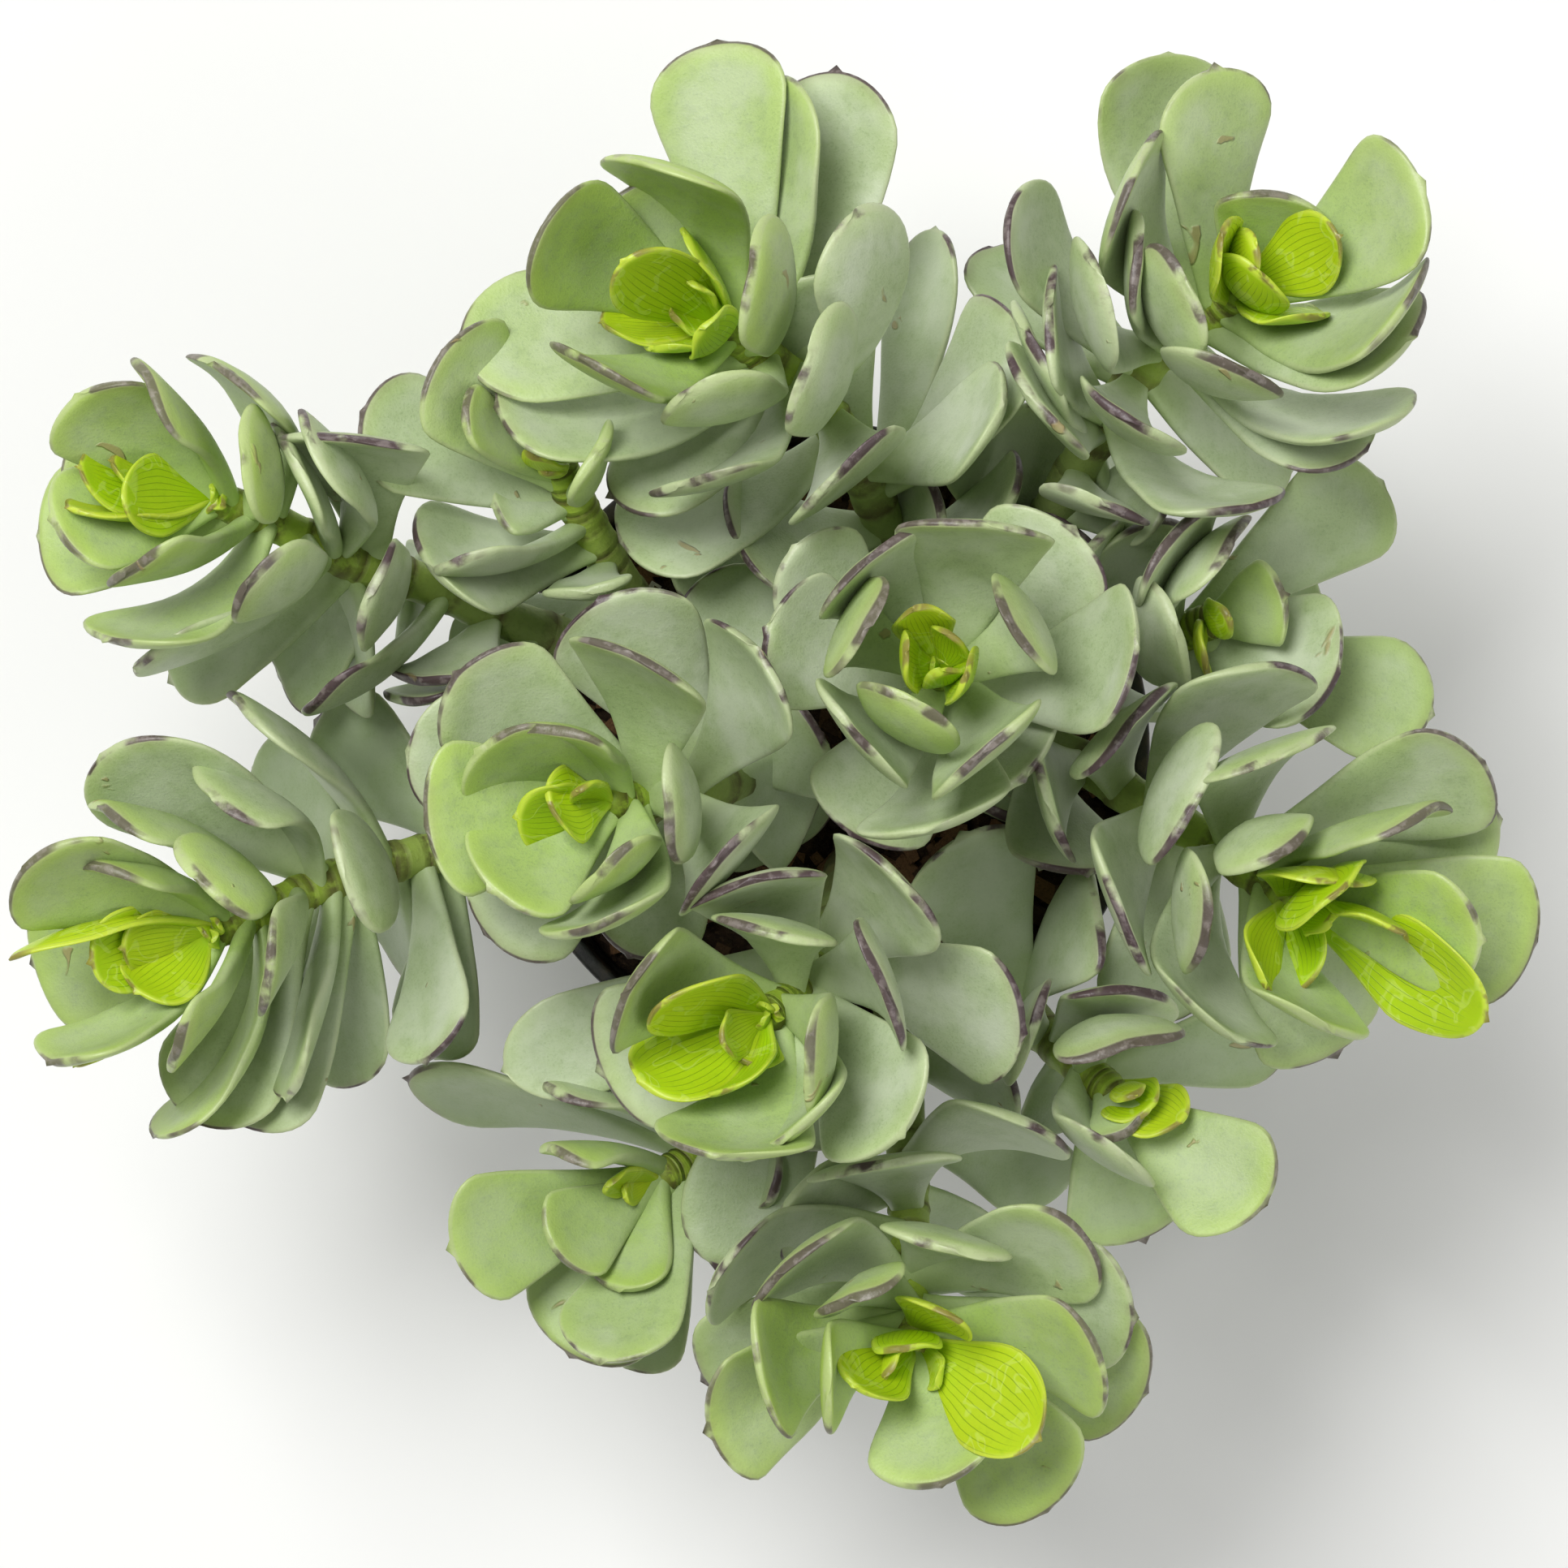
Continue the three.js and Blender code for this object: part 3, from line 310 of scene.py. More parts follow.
chance = random.Random(7)
points = []
faces = []
kinds = []
for _ in range(CHIPS):
    radius = CHIPS_RADIUS * math.sqrt(chance.random())
    angle = chance.uniform(0, 2 * math.pi)
    x, y = radius * math.cos(angle), radius * math.sin(angle)
    z = surface((radius / SOIL_RADIUS) ** 2)
    kind_of = chance.random()
    perlite = kind_of > PERLITE_FROM
    size = chance.uniform(0.0012, 0.0034) * (0.7 if perlite else 1)
    flat = 0.75 if perlite else chance.uniform(0.25, 0.5)
    long = 1 if perlite else chance.uniform(1, 2.2)
    turn = chance.uniform(0, math.pi)
    tilt = chance.uniform(-0.35, 0.35)
    first = len(points)
    for i, j, k in CHIP_CORNERS:
        px = i * size * long * chance.uniform(0.6, 1)
        py = j * size * chance.uniform(0.6, 1)
        pz = k * size * flat * chance.uniform(0.6, 1) + px * tilt
        points.append((x + px * math.cos(turn) - py * math.sin(turn),
                       y + px * math.sin(turn) + py * math.cos(turn), z + pz))
        kinds.append(kind_of)
    faces += [tuple(first + v for v in face) for face in CHIP_FACES]
chips = piece("soil_chips", points, faces, chip_finish, {"kind": kinds}, smooth=False)


# Shoots. Thirteen fleshy stems rise out of the soil, lean outwards and turn up at the end.
# Places are read in the photo's view from straight above, at a height in millimetres.
VIEW_SIZE = 1932
VIEW_LENGTH = 5925
VIEW_EYE = Vector((-0.010, -0.009, 1.300))


def place(view_x, view_y, height_mm):
    """The point that is seen at a place in the view, at a height."""
    height = height_mm / 1000
    scale = (VIEW_EYE.z - height) / VIEW_LENGTH
    across = (view_x - VIEW_SIZE / 2) * scale
    down = (view_y - VIEW_SIZE / 2) * scale
    return Vector((VIEW_EYE.x + across, VIEW_EYE.y - down, height))


def leaf(along, tip, length, width, seen, bow):
    """A leaf: its place along the stem, its tip in the view, its length in millimetres,
    minus where the tip hangs, its width, its broad end as seen, and its bow."""
    return {"along": along, "tip": tip, "length": length / 1000, "width": width / 1000,
            "seen": seen, "bow": bow}


SHOOTS = {
    "back": {
        "stem": [
            (1095, 800, 105), (1098, 690, 132), (1075, 610, 150), (1015, 505, 166), (940, 438, 178),
            (885, 398, 186),
        ],
        "apart": [1, 3, 10, 12, 18],
        "leaves": [
            leaf(4.15, (884, 52), 67, 34, (178, 0), 0.04),
            leaf(4.1, (958, 92), 64, 34, (100, 0), 0.06),
            leaf(3.35, (1030, 88), 72, 37, 0, 0.03),
            leaf(3.2, (1052, 262), 60, 33, (55, 0), 0.16),
            leaf(3.5, (996, 442), 54, 33, (-58, 163), 0.15),
            leaf(4.3, (926, 330), 54, 32, (-23, 167), 0.15),
            leaf(4.7, (790, 200), 58, 36, (175, 62), 0.18),
            leaf(4.9, (668, 280), 58, 33, (-75, 140), 0.18),
            leaf(4.5, (735, 262), 46, 30, 0, 0.05),
            leaf(4.1, (566, 415), 66, 35, 0, 0.03),
            leaf(4.6, (715, 440), 54, 32, (150, 69), 0.16),
            leaf(3.8, (612, 502), 66, 36, (135, 127), 0.16),
            leaf(3.9, (848, 482), 50, 30, (127, -67), 0.15),
            leaf(3.5, (838, 598), 52, 33, (170, -35), 0.16),
            leaf(3.4, (752, 610), -48, 27, 0, 0.05),
            leaf(2.9, (1028, 588), 48, 34, (-130, 120), 0.11),
            leaf(2.2, (978, 345), 56, 34, 0, 0.05),
            leaf(1.9, (1152, 282), 66, 28, (84, 0), 0.05),
            leaf(2.3, (1236, 500), 54, 33, (-50, 157), 0.11),
            leaf(1.9, (1048, 700), -38, 32, 0, 0.05),
            leaf(2.7, (765, 668), 56, 37, (180, 70), 0.11),
            leaf(2, (1262, 405), 58, 36, (78, 75), 0.05),
            leaf(1.1, (1252, 606), 46, 30, (-25, 85), 0.05),
            leaf(1, (1152, 602), 34, 34, 0, 0.05),
            leaf(1.5, (905, 666), 43, 36, 0, 0.05),
            leaf(1.3, (825, 705), 53, 34, 0, 0.05),
        ],
        "young": [
            leaf(5, (768, 322), 40, 22, (-86, 67), 0.05),
            leaf(4.95, (740, 398), 29, 17, (8, 56), 0.08),
            leaf(4.9, (804, 430), 22, 16, (88, 8), 0.08),
            leaf(4.85, (862, 405), 22, 16, (48, -60), 0.1),
            leaf(4.8, (843, 288), 31, 18, (42, 85), 0.06),
            leaf(5, (846, 345), 20, 12, 0, 0.1),
            leaf(5, (828, 388), 16, 10, 0, 0.1),
        ],
    },
    "back_right": {
        "stem": [
            (1225, 770, 105), (1270, 680, 130), (1320, 590, 148), (1370, 505, 162),
            (1432, 432, 172),
            (1500, 388, 180), (1532, 352, 186),
        ],
        "apart": [1, 5, 8, 11, 16],
        "leaves": [
            leaf(4.8, (1440, 66), 60, 38, (165, -60), 0.14),
            leaf(5, (1496, 84), 58, 33, 0, 0.03),
            leaf(4.6, (1406, 195), 56, 36, (-75, 175), 0.16),
            leaf(5.4, (1576, 238), 35, 27, (122, 20), 0.12),
            leaf(5.3, (1752, 226), 60, 34, 0, 0.04),
            leaf(5.1, (1738, 368), 58, 34, (-90, 138), 0.16),
            leaf(4.6, (1742, 415), 58, 34, 0, 0.05),
            leaf(4.3, (1730, 512), 60, 36, (-137, 75), 0.16),
            leaf(4.5, (1530, 455), 48, 30, (137, 52), 0.15),
            leaf(3.5, (1398, 520), 48, 31, (130, 85), 0.11),
            leaf(3, (1545, 625), 54, 35, (-157, 37), 0.12),
            leaf(3.6, (1592, 578), -46, 34, 0, 0.05),
            leaf(4.6, (1464, 352), 46, 28, (58, 116), 0.15),
            leaf(4.1, (1403, 305), 46, 30, 0, 0.05),
            leaf(4, (1353, 335), 54, 33, (47, 163), 0.15),
            leaf(3.6, (1245, 252), 60, 34, 0, 0.05),
            leaf(3.4, (1225, 305), -56, 32, 0, 0.05),
            leaf(2.5, (1264, 408), 50, 33, (21, 70), 0.05),
            leaf(2.9, (1292, 385), 50, 33, 0, 0.05),
            leaf(2.7, (1272, 492), 50, 34, (95, 145), 0.05),
            leaf(2.1, (1362, 622), 42, 28, (120, 43), 0.05),
            leaf(2.6, (1390, 628), -38, 30, 0, 0.05),
            leaf(0.9, (1238, 505), 42, 36, 0, 0.05),
            leaf(1.5, (1446, 600), 38, 30, 0, 0.05),
            leaf(4.1, (1684, 556), 54, 30, 0, 0.05),
        ],
        "young": [
            leaf(5.9, (1650, 292), 34, 21, (38, 92), 0.05),
            leaf(5.4, (1506, 290), 36, 20, (-34, 90), 0.06),
            leaf(5.9, (1552, 335), 26, 20, 0, 0.14),
            leaf(6, (1548, 300), 24, 16, 0, 0.1),
            leaf(5.6, (1628, 390), 27, 20, (100, -22), 0.06),
        ],
    },
    "left_upper": {
        "stem": [
            (900, 860, 105), (770, 812, 122), (645, 770, 138), (530, 722, 150), (430, 690, 160),
            (340, 645, 169), (265, 615, 177),
        ],
        "apart": [9, 18],
        "leaves": [
            leaf(5, (266, 450), 48, 34, (125, 88), 0.18),
            leaf(5.7, (180, 462), 50, 28, 60, 0.06),
            leaf(5.9, (95, 487), 48, 30, 0, 0.05),
            leaf(5.9, (108, 500), 40, 24, (124, -24), 0.1),
            leaf(5.9, (84, 548), 38, 24, 0, 0.05),
            leaf(5.9, (64, 640), 42, 30, 0, 0.06),
            leaf(5.6, (47, 660), -50, 34, 0, 0.04),
            leaf(5.3, (160, 702), 46, 28, 50, 0.05),
            leaf(5.1, (132, 788), 52, 36, (130, 45), 0.15),
            leaf(4.6, (306, 715), 46, 28, (-100, 97), 0.15),
            leaf(4.2, (168, 820), 58, 30, 60, 0.05),
            leaf(3.9, (212, 838), -56, 30, 0, 0.04),
            leaf(4, (415, 850), -42, 35, 0, 0.05),
            leaf(3.5, (452, 738), 46, 29, (-63, 137), 0.1),
            leaf(2.8, (388, 866), 50, 28, 40, 0.05),
            leaf(4.1, (378, 540), 50, 28, (54, 133), 0.16),
            leaf(4.2, (358, 560), 44, 31, 0, 0.05),
            leaf(3.7, (425, 540), 54, 36, (100, 0), 0.15),
            leaf(3.3, (505, 760), -44, 34, 0, 0.05),
            leaf(5.5, (300, 560), 46, 29, (20, 113), 0.15),
            leaf(2.3, (520, 840), 34, 32, 0, 0.05),
            leaf(1.8, (486, 862), 43, 28, (60, 20), 0.04),
            leaf(3.6, (345, 832), -42, 34, 0, 0.04),
        ],
        "young": [
            leaf(6, (150, 612), 29, 20, (5, 93), 0.04),
            leaf(6, (97, 576), 36, 19, (14, 85), 0.06),
            leaf(6, (136, 568), 29, 16, (8, 66), 0.06),
            leaf(6, (82, 626), 38, 16, (70, 20), 0.06),
        ],
    },
    "left_lower": {
        "stem": [
            (900, 985, 105), (770, 1012, 120), (645, 1036, 134), (530, 1052, 146), (430, 1076, 156),
            (340, 1115, 166), (262, 1148, 175),
        ],
        "apart": [1, 2, 6, 12],
        "leaves": [
            leaf(3.5, (292, 862), 60, 34, 80, 0.05),
            leaf(4.3, (125, 930), 66, 38, 0, 0.03),
            leaf(4, (312, 948), -50, 33, 0, 0.04),
            leaf(5, (125, 995), 54, 31, 55, 0.06),
            leaf(4.4, (258, 978), 50, 31, (140, 115), 0.15),
            leaf(5.7, (30, 1068), 58, 36, 0, 0.03),
            leaf(5.7, (115, 1067), 46, 26, (127, 35), 0.08),
            leaf(5.9, (42, 1187), -50, 34, 0, 0.04),
            leaf(5.8, (62, 1310), 54, 33, (173, -25), 0.15),
            leaf(5.4, (245, 1085), 44, 27, (80, 90), 0.15),
            leaf(5.4, (214, 1300), 46, 28, 50, 0.05),
            leaf(5.2, (190, 1400), 58, 33, (57, -8), 0.15),
            leaf(4.7, (330, 1205), 48, 28, 60, 0.05),
            leaf(4.2, (355, 1352), 54, 29, 60, 0.05),
            leaf(4, (290, 1384), -64, 37, 0, 0.03),
            leaf(3.9, (425, 1085), 50, 30, (50, 146), 0.15),
            leaf(3.1, (526, 1308), 54, 27, 0, 0.05),
            leaf(2.8, (536, 1304), -52, 28, 0, 0.04),
            leaf(3.4, (470, 1158), -40, 32, 0, 0.05),
            leaf(2.6, (390, 890), -52, 34, 0, 0.04),
            leaf(4, (398, 1334), -57, 36, 0, 0.04),
            leaf(4.6, (242, 1384), -61, 34, 0, 0.04),
        ],
        "young": [
            leaf(6, (168, 1222), 26, 20, 0, 0.08),
            leaf(6, (150, 1168), 24, 16, 0, 0.08),
            leaf(6, (112, 1186), 32, 20, 0, 0.08),
            leaf(5.8, (12, 1182), 52, 20, 26, 0.08),
            leaf(5.8, (92, 1314), 42, 14, 22, 0.05),
        ],
    },
    "middle_left": {
        "stem": [
            (955, 958, 105), (915, 962, 140), (855, 974, 172), (795, 984, 194), (755, 986, 204),
        ],
        "apart": [1, 15],
        "leaves": [
            leaf(2.9, (562, 830), 58, 36, 0, 0.04),
            leaf(3.1, (775, 805), 56, 35, (170, 70), 0.16),
            leaf(2.2, (934, 802), 56, 35, (113, 140), 0.11),
            leaf(2.5, (880, 1064), 56, 34, (-110, 144), 0.16),
            leaf(3, (822, 990), 48, 28, (20, 138), 0.15),
            leaf(3.2, (715, 1148), 50, 33, (150, -35), 0.16),
            leaf(2.9, (598, 1150), -50, 35, 0, 0.04),
            leaf(3.7, (605, 1096), 41, 32, (74, 96), 0.1),
            leaf(3.5, (735, 1080), 44, 26, (-100, 95), 0.16),
            leaf(3.5, (524, 1018), 49, 36, 0, 0.05),
            leaf(3.6, (590, 925), 41, 30, (56, -80), 0.1),
            leaf(3.6, (664, 898), 38, 30, (160, 25), 0.14),
            leaf(2.4, (502, 925), -62, 34, 0, 0.04),
            leaf(1.5, (1005, 995), -34, 35, 0, 0.04),
            leaf(1.6, (740, 738), 58, 36, 0, 0.05),
            leaf(1.2, (985, 1040), -34, 32, 0, 0.04),
            leaf(1.6, (775, 1178), 46, 30, 0, 0.04),
            leaf(0.9, (1012, 905), 28, 30, 0, 0.05),
        ],
        "young": [
            leaf(4, (676, 990), 20, 19, (28, 94), 0.02),
            leaf(4, (637, 1006), 24, 19, (-22, 95), 0.02),
            leaf(4, (712, 975), 18, 9, 0, 0.1),
        ],
    },
    "middle_right": {
        "stem": [
            (1105, 885, 105), (1140, 862, 150), (1168, 845, 185), (1160, 825, 208),
        ],
        "apart": [8, 9],
        "leaves": [
            leaf(2.3, (1210, 645), 56, 36, (172, 12), 0.16),
            leaf(2.1, (1075, 685), 54, 36, (150, -110), 0.16),
            leaf(2.5, (1066, 778), 44, 26, (-66, 118), 0.32),
            leaf(2.1, (1048, 897), 54, 34, (102, 137), 0.16),
            leaf(2.6, (1125, 862), 38, 27, (112, 62), 0.32),
            leaf(2.3, (1210, 928), 50, 33, (125, -112), 0.16),
            leaf(2.4, (1242, 768), 44, 27, (58, 112), 0.32),
            leaf(1.9, (1402, 800), 56, 36, (-20, 173), 0.15),
            leaf(1.8, (1140, 1024), 52, 37, (187, -52), 0.11),
            leaf(1.6, (1322, 652), 52, 34, 0, 0.04),
            leaf(1.7, (945, 775), 50, 34, 0, 0.04),
            leaf(1, (836, 748), 56, 34, 0, 0.04),
            leaf(1.4, (978, 674), 54, 30, 0, 0.04),
            leaf(1.3, (1050, 1030), 40, 34, 0, 0.05),
            leaf(1.5, (1260, 960), 40, 32, 0, 0.05),
        ],
        "young": [
            leaf(3, (1126, 750), 27, 15, (76, -18), 0.1),
            leaf(3, (1117, 805), 26, 15, (6, 80), 0.1),
            leaf(3, (1170, 782), 22, 12, (48, 36), 0.1),
            leaf(2.9, (1190, 832), 28, 15, (-34, 72), 0.08),
            leaf(3, (1162, 826), 18, 11, (50, -12), 0.1),
        ],
    },
    "middle_front": {
        "stem": [
            (1045, 1065, 105), (1030, 1130, 145), (1003, 1190, 175), (975, 1225, 193),
            (945, 1250, 203),
        ],
        "apart": [6, 13],
        "leaves": [
            leaf(2.4, (925, 1085), 56, 33, (158, -43), 0.11),
            leaf(1.9, (1110, 1085), 56, 36, (113, 118), 0.1),
            leaf(3, (945, 1150), 46, 30, (143, 38), 0.16),
            leaf(2.6, (1090, 1222), 50, 32, (52, 145), 0.16),
            leaf(2.7, (1112, 1398), 52, 38, 0, 0.05),
            leaf(1.8, (1262, 1272), 56, 38, (0, 175), 0.04),
            leaf(3.5, (880, 1425), 50, 37, (163, 30), 0.18),
            leaf(3.2, (965, 1405), 46, 34, (118, -90), 0.17),
            leaf(3.5, (995, 1320), 42, 28, (-7, 145), 0.15),
            leaf(3.3, (770, 1225), 52, 34, (-65, 150), 0.17),
            leaf(2.9, (740, 1318), -48, 36, 0, 0.05),
            leaf(2.2, (990, 1418), -48, 35, 0, 0.04),
            leaf(1.5, (622, 1318), -68, 27, 0, 0.03),
            leaf(1.2, (884, 1560), -74, 30, 0, 0.03),
        ],
        "young": [
            leaf(3.9, (808, 1242), 38, 24, (96, -84), 0.08),
            leaf(4, (787, 1332), 36, 26, (102, 80), 0.08),
            leaf(4, (872, 1350), 28, 24, (95, -20), 0.1),
            leaf(4, (922, 1312), 16, 15, (66, 28), 0.05),
            leaf(4, (890, 1285), 22, 12, 0, 0.1),
        ],
    },
    "front": {
        "stem": [
            (1085, 1135, 105), (1105, 1265, 125), (1116, 1400, 142), (1120, 1500, 155),
            (1122, 1590, 166), (1126, 1655, 175),
        ],
        "apart": [9, 10, 13],
        "leaves": [
            leaf(2.9, (1080, 1436), 48, 37, (192, -30), 0.1),
            leaf(3.8, (1172, 1540), 46, 32, (154, 34), 0.15),
            leaf(3.9, (958, 1572), 50, 34, (-115, 122), 0.16),
            leaf(3.2, (875, 1590), 56, 35, (-75, 155), 0.15),
            leaf(4.6, (872, 1762), 56, 37, 0, 0.04),
            leaf(4.5, (937, 1700), 52, 33, (35, 157), 0.16),
            leaf(4.9, (1020, 1722), 42, 26, (5, 127), 0.16),
            leaf(4.3, (1048, 1602), 42, 26, (-120, 62), 0.15),
            leaf(4.7, (1362, 1690), 54, 37, 0, 0.04),
            leaf(4.3, (1412, 1715), -60, 39, 0, 0.03),
            leaf(3.9, (1337, 1522), 52, 36, 0, 0.04),
            leaf(5, (1160, 1830), 38, 33, 0, 0.06),
            leaf(4.8, (1290, 1862), -54, 37, 0, 0.04),
            leaf(2.3, (1285, 1393), 46, 36, (145, 90), 0.1),
            leaf(2, (1312, 1464), -48, 26, 0, 0.04),
            leaf(2.6, (1178, 1570), -44, 32, 0, 0.04),
            leaf(1.3, (1245, 1322), 36, 36, 0, 0.05),
            leaf(2.6, (960, 1500), 40, 30, 0, 0.05),
            leaf(3.9, (868, 1700), -56, 34, 0, 0.04),
            leaf(3.6, (1398, 1622), 57, 36, 0, 0.04),
        ],
        "young": [
            leaf(5, (1280, 1772), 45, 26, (-58, 88), 0.03),
            leaf(4.9, (1108, 1664), 20, 17, (92, -4), 0.1),
            leaf(5, (1052, 1708), 32, 21, (78, 68), 0.08),
            leaf(4.7, (1172, 1622), 36, 20, (85, 53), 0.06),
            leaf(5, (1092, 1695), 20, 12, 0, 0.1),
            leaf(5, (1156, 1708), 16, 9, 0, 0.1),
        ],
    },
    "front_right": {
        "stem": [
            (1160, 1110, 105), (1225, 1205, 120), (1292, 1278, 134), (1340, 1320, 145),
            (1375, 1350, 152),
        ],
        "apart": [7],
        "leaves": [
            leaf(1.7, (1185, 1030), 54, 36, 0, 0.05),
            leaf(1.9, (1270, 1278), 40, 28, (-53, 139), 0.1),
            leaf(3, (1392, 1288), 40, 32, (117, -30), 0.16),
            leaf(3.3, (1388, 1398), 23, 17, (58, -34), 0.06),
            leaf(2.8, (1392, 1430), 46, 32, (124, 98), 0.16),
            leaf(3.3, (1410, 1526), -42, 37, 0, 0.04),
            leaf(3.7, (1560, 1484), 48, 33, 0, 0.03),
            leaf(2.3, (1310, 1392), -30, 24, 0, 0.05),
            leaf(2.2, (1400, 1220), 40, 30, 0, 0.05),
            leaf(3, (1590, 1270), -54, 24, 0, 0.03),
            leaf(1.5, (1352, 1108), 42, 38, (34, 80), 0.05),
        ],
        "young": [
            leaf(3.3, (1418, 1366), 23, 16, (50, -46), 0.06),
            leaf(3.5, (1454, 1384), 26, 19, (84, -58), 0.08),
            leaf(4, (1400, 1350), 16, 9, 0, 0.1),
        ],
    },
    "front_left": {
        "stem": [
            (1005, 1125, 105), (965, 1240, 118), (905, 1355, 128), (852, 1425, 137),
            (815, 1450, 143),
        ],
        "apart": [1, 4],
        "leaves": [
            leaf(2.9, (502, 1330), 70, 30, 80, 0.03),
            leaf(2.8, (674, 1340), 48, 26, 45, 0.04),
            leaf(3.6, (677, 1416), 38, 22, 25, 0.04),
            leaf(3.8, (556, 1538), 56, 32, 0, 0.04),
            leaf(3.9, (764, 1590), 32, 20, 0, 0.04),
            leaf(3.9, (682, 1541), 36, 24, 0, 0.05),
            leaf(3.9, (703, 1670), -48, 36, 0, 0.04),
            leaf(3.3, (740, 1678), 56, 32, 0, 0.06),
            leaf(3, (770, 1684), -56, 29, 0, 0.04),
            leaf(1.8, (950, 1480), 40, 18, 0, 0.05),
        ],
        "young": [
            leaf(4, (747, 1462), 20, 10, 0, 0.06),
            leaf(4, (770, 1475), 14, 8, 0, 0.1),
        ],
    },
    "right": {
        "stem": [
            (1140, 965, 105), (1225, 935, 125), (1310, 928, 142), (1400, 985, 156),
            (1480, 1030, 166), (1552, 1082, 174), (1612, 1122, 180),
        ],
        "apart": [13, 17],
        "leaves": [
            leaf(2.8, (1397, 886), 54, 34, (120, -128), 0.11),
            leaf(2.3, (1295, 996), 52, 33, (43, 163), 0.06),
            leaf(3.5, (1476, 984), 50, 36, (-93, 170), 0.1),
            leaf(4.5, (1592, 926), 50, 37, (175, -72), 0.16),
            leaf(3.4, (1386, 1138), 54, 37, (71, 187), 0.11),
            leaf(3.7, (1430, 1262), -54, 38, 0, 0.04),
            leaf(4.2, (1525, 1282), 54, 38, (170, 113), 0.17),
            leaf(4.4, (1488, 1148), 46, 31, (-13, 164), 0.15),
            leaf(4.7, (1578, 1054), 42, 26, (-113, 68), 0.15),
            leaf(4.6, (1828, 938), 64, 38, 0, 0.03),
            leaf(5, (1768, 995), 54, 30, 70, 0.05),
            leaf(4.8, (1848, 1010), -60, 35, 0, 0.03),
            leaf(5.3, (1893, 1160), 62, 38, 0, 0.03),
            leaf(5.6, (1826, 1158), 50, 32, 0, 0.05),
            leaf(5.1, (1640, 1268), 48, 36, (172, 83), 0.16),
            leaf(4.8, (1645, 1298), -50, 34, 0, 0.04),
            leaf(3.3, (1575, 818), 58, 38, (212, -10), 0.11),
            leaf(1.6, (1338, 1076), 38, 34, 0, 0.05),
            leaf(0.9, (1262, 1012), 30, 32, 0, 0.05),
        ],
        "young": [
            leaf(5.8, (1655, 1097), 36, 26, 0, 0.08),
            leaf(5.2, (1604, 1220), 29, 21, (72, -52), 0.06),
            leaf(5.6, (1560, 1216), 36, 20, (50, 80), 0.1),
            leaf(6, (1728, 1150), 34, 18, (120, 50), 0.06),
            leaf(5.9, (1830, 1256), 52, 27, 125, 0.05),
            leaf(6, (1640, 1135), 18, 11, 0, 0.1),
            leaf(5.6, (1642, 1088), 34, 28, (145, 10), 0.12),
        ],
    },
    "back_left": {
        "stem": [
            (860, 850, 105), (795, 765, 128), (745, 685, 146), (712, 622, 157), (690, 575, 165),
        ],
        "apart": [1],
        "leaves": [
            leaf(2.9, (446, 508), 58, 32, 0, 0.03),
            leaf(3, (608, 624), 22, 17, 0, 0.05),
            leaf(2.6, (548, 698), 48, 28, 55, 0.05),
            leaf(2.2, (524, 692), 50, 36, (70, 128), 0.1),
            leaf(1.9, (722, 730), 34, 22, 0, 0.05),
            leaf(3.3, (735, 558), 36, 22, 0, 0.05),
            leaf(3.6, (572, 503), 40, 18, 0, 0.05),
            leaf(3.4, (545, 432), 52, 34, 0, 0.04),
            leaf(1.4, (560, 830), -48, 34, 0, 0.04),
        ],
        "young": [
            leaf(4, (660, 562), 18, 11, 0, 0.08),
            leaf(4, (690, 556), 14, 8, 0, 0.08),
            leaf(4, (674, 582), 12, 7, 0, 0.08),
        ],
    },
    "right_upper": {
        "stem": [
            (1205, 872, 105), (1290, 830, 124), (1380, 800, 138), (1450, 782, 148),
            (1492, 765, 154),
        ],
        "apart": [1],
        "leaves": [
            leaf(3.1, (1702, 594), 58, 30, 0, 0.03),
            leaf(3.6, (1584, 734), 26, 22, 0, 0.05),
            leaf(3.2, (1628, 738), -40, 31, 0, 0.04),
            leaf(3.3, (1764, 880), 58, 34, 0, 0.03),
            leaf(2.4, (1650, 830), 52, 37, 0, 0.04),
            leaf(2.3, (1450, 772), 46, 31, (53, 110), 0.1),
            leaf(2, (1435, 797), 28, 19, 0, 0.05),
            leaf(2.7, (1455, 650), 46, 32, 0, 0.05),
            leaf(2.9, (1520, 662), 44, 30, (-65, 90), 0.15),
            leaf(1.8, (1340, 680), 44, 32, 0, 0.05),
            leaf(0.9, (1312, 642), 46, 34, (112, 60), 0.05),
            leaf(1.6, (1432, 640), 46, 34, 0, 0.05),
            leaf(1.5, (1402, 882), 30, 30, 0, 0.05),
        ],
        "young": [
            leaf(3.8, (1487, 822), 20, 14, 30, 0.06),
            leaf(4, (1515, 760), 20, 11, 0, 0.1),
        ],
    },
}


# Stems. Each is smooth, round and full of water, green where it is young and corky brown
# near the soil, with a brown scar line and a slight swelling under every leaf.
STEM_RADIUS_LOW = 0.0057
STEM_RADIUS_TIP = 0.0041
ROOT_DEPTH = 0.015
STEM_STEP = 0.0016
SCAR_WIDTH = 0.0016
STEM_ROUND = 22


def on_line(points, along):
    i = min(int(along), len(points) - 2)
    return points[i].lerp(points[i + 1], along - i)


def on_curve(points, along):
    """A smooth curve through the stem's points."""
    i = min(int(along), len(points) - 2)
    t = along - i
    p0 = points[i - 1] if i else points[0] * 2 - points[1]
    p1, p2 = points[i], points[i + 1]
    p3 = points[i + 2] if i + 2 < len(points) else points[-1] * 2 - points[-2]
    return 0.5 * (2 * p1 + (p2 - p0) * t + (2 * p0 - 5 * p1 + 4 * p2 - p3) * t ** 2
                  + (3 * p1 - p0 - 3 * p2 + p3) * t ** 3)


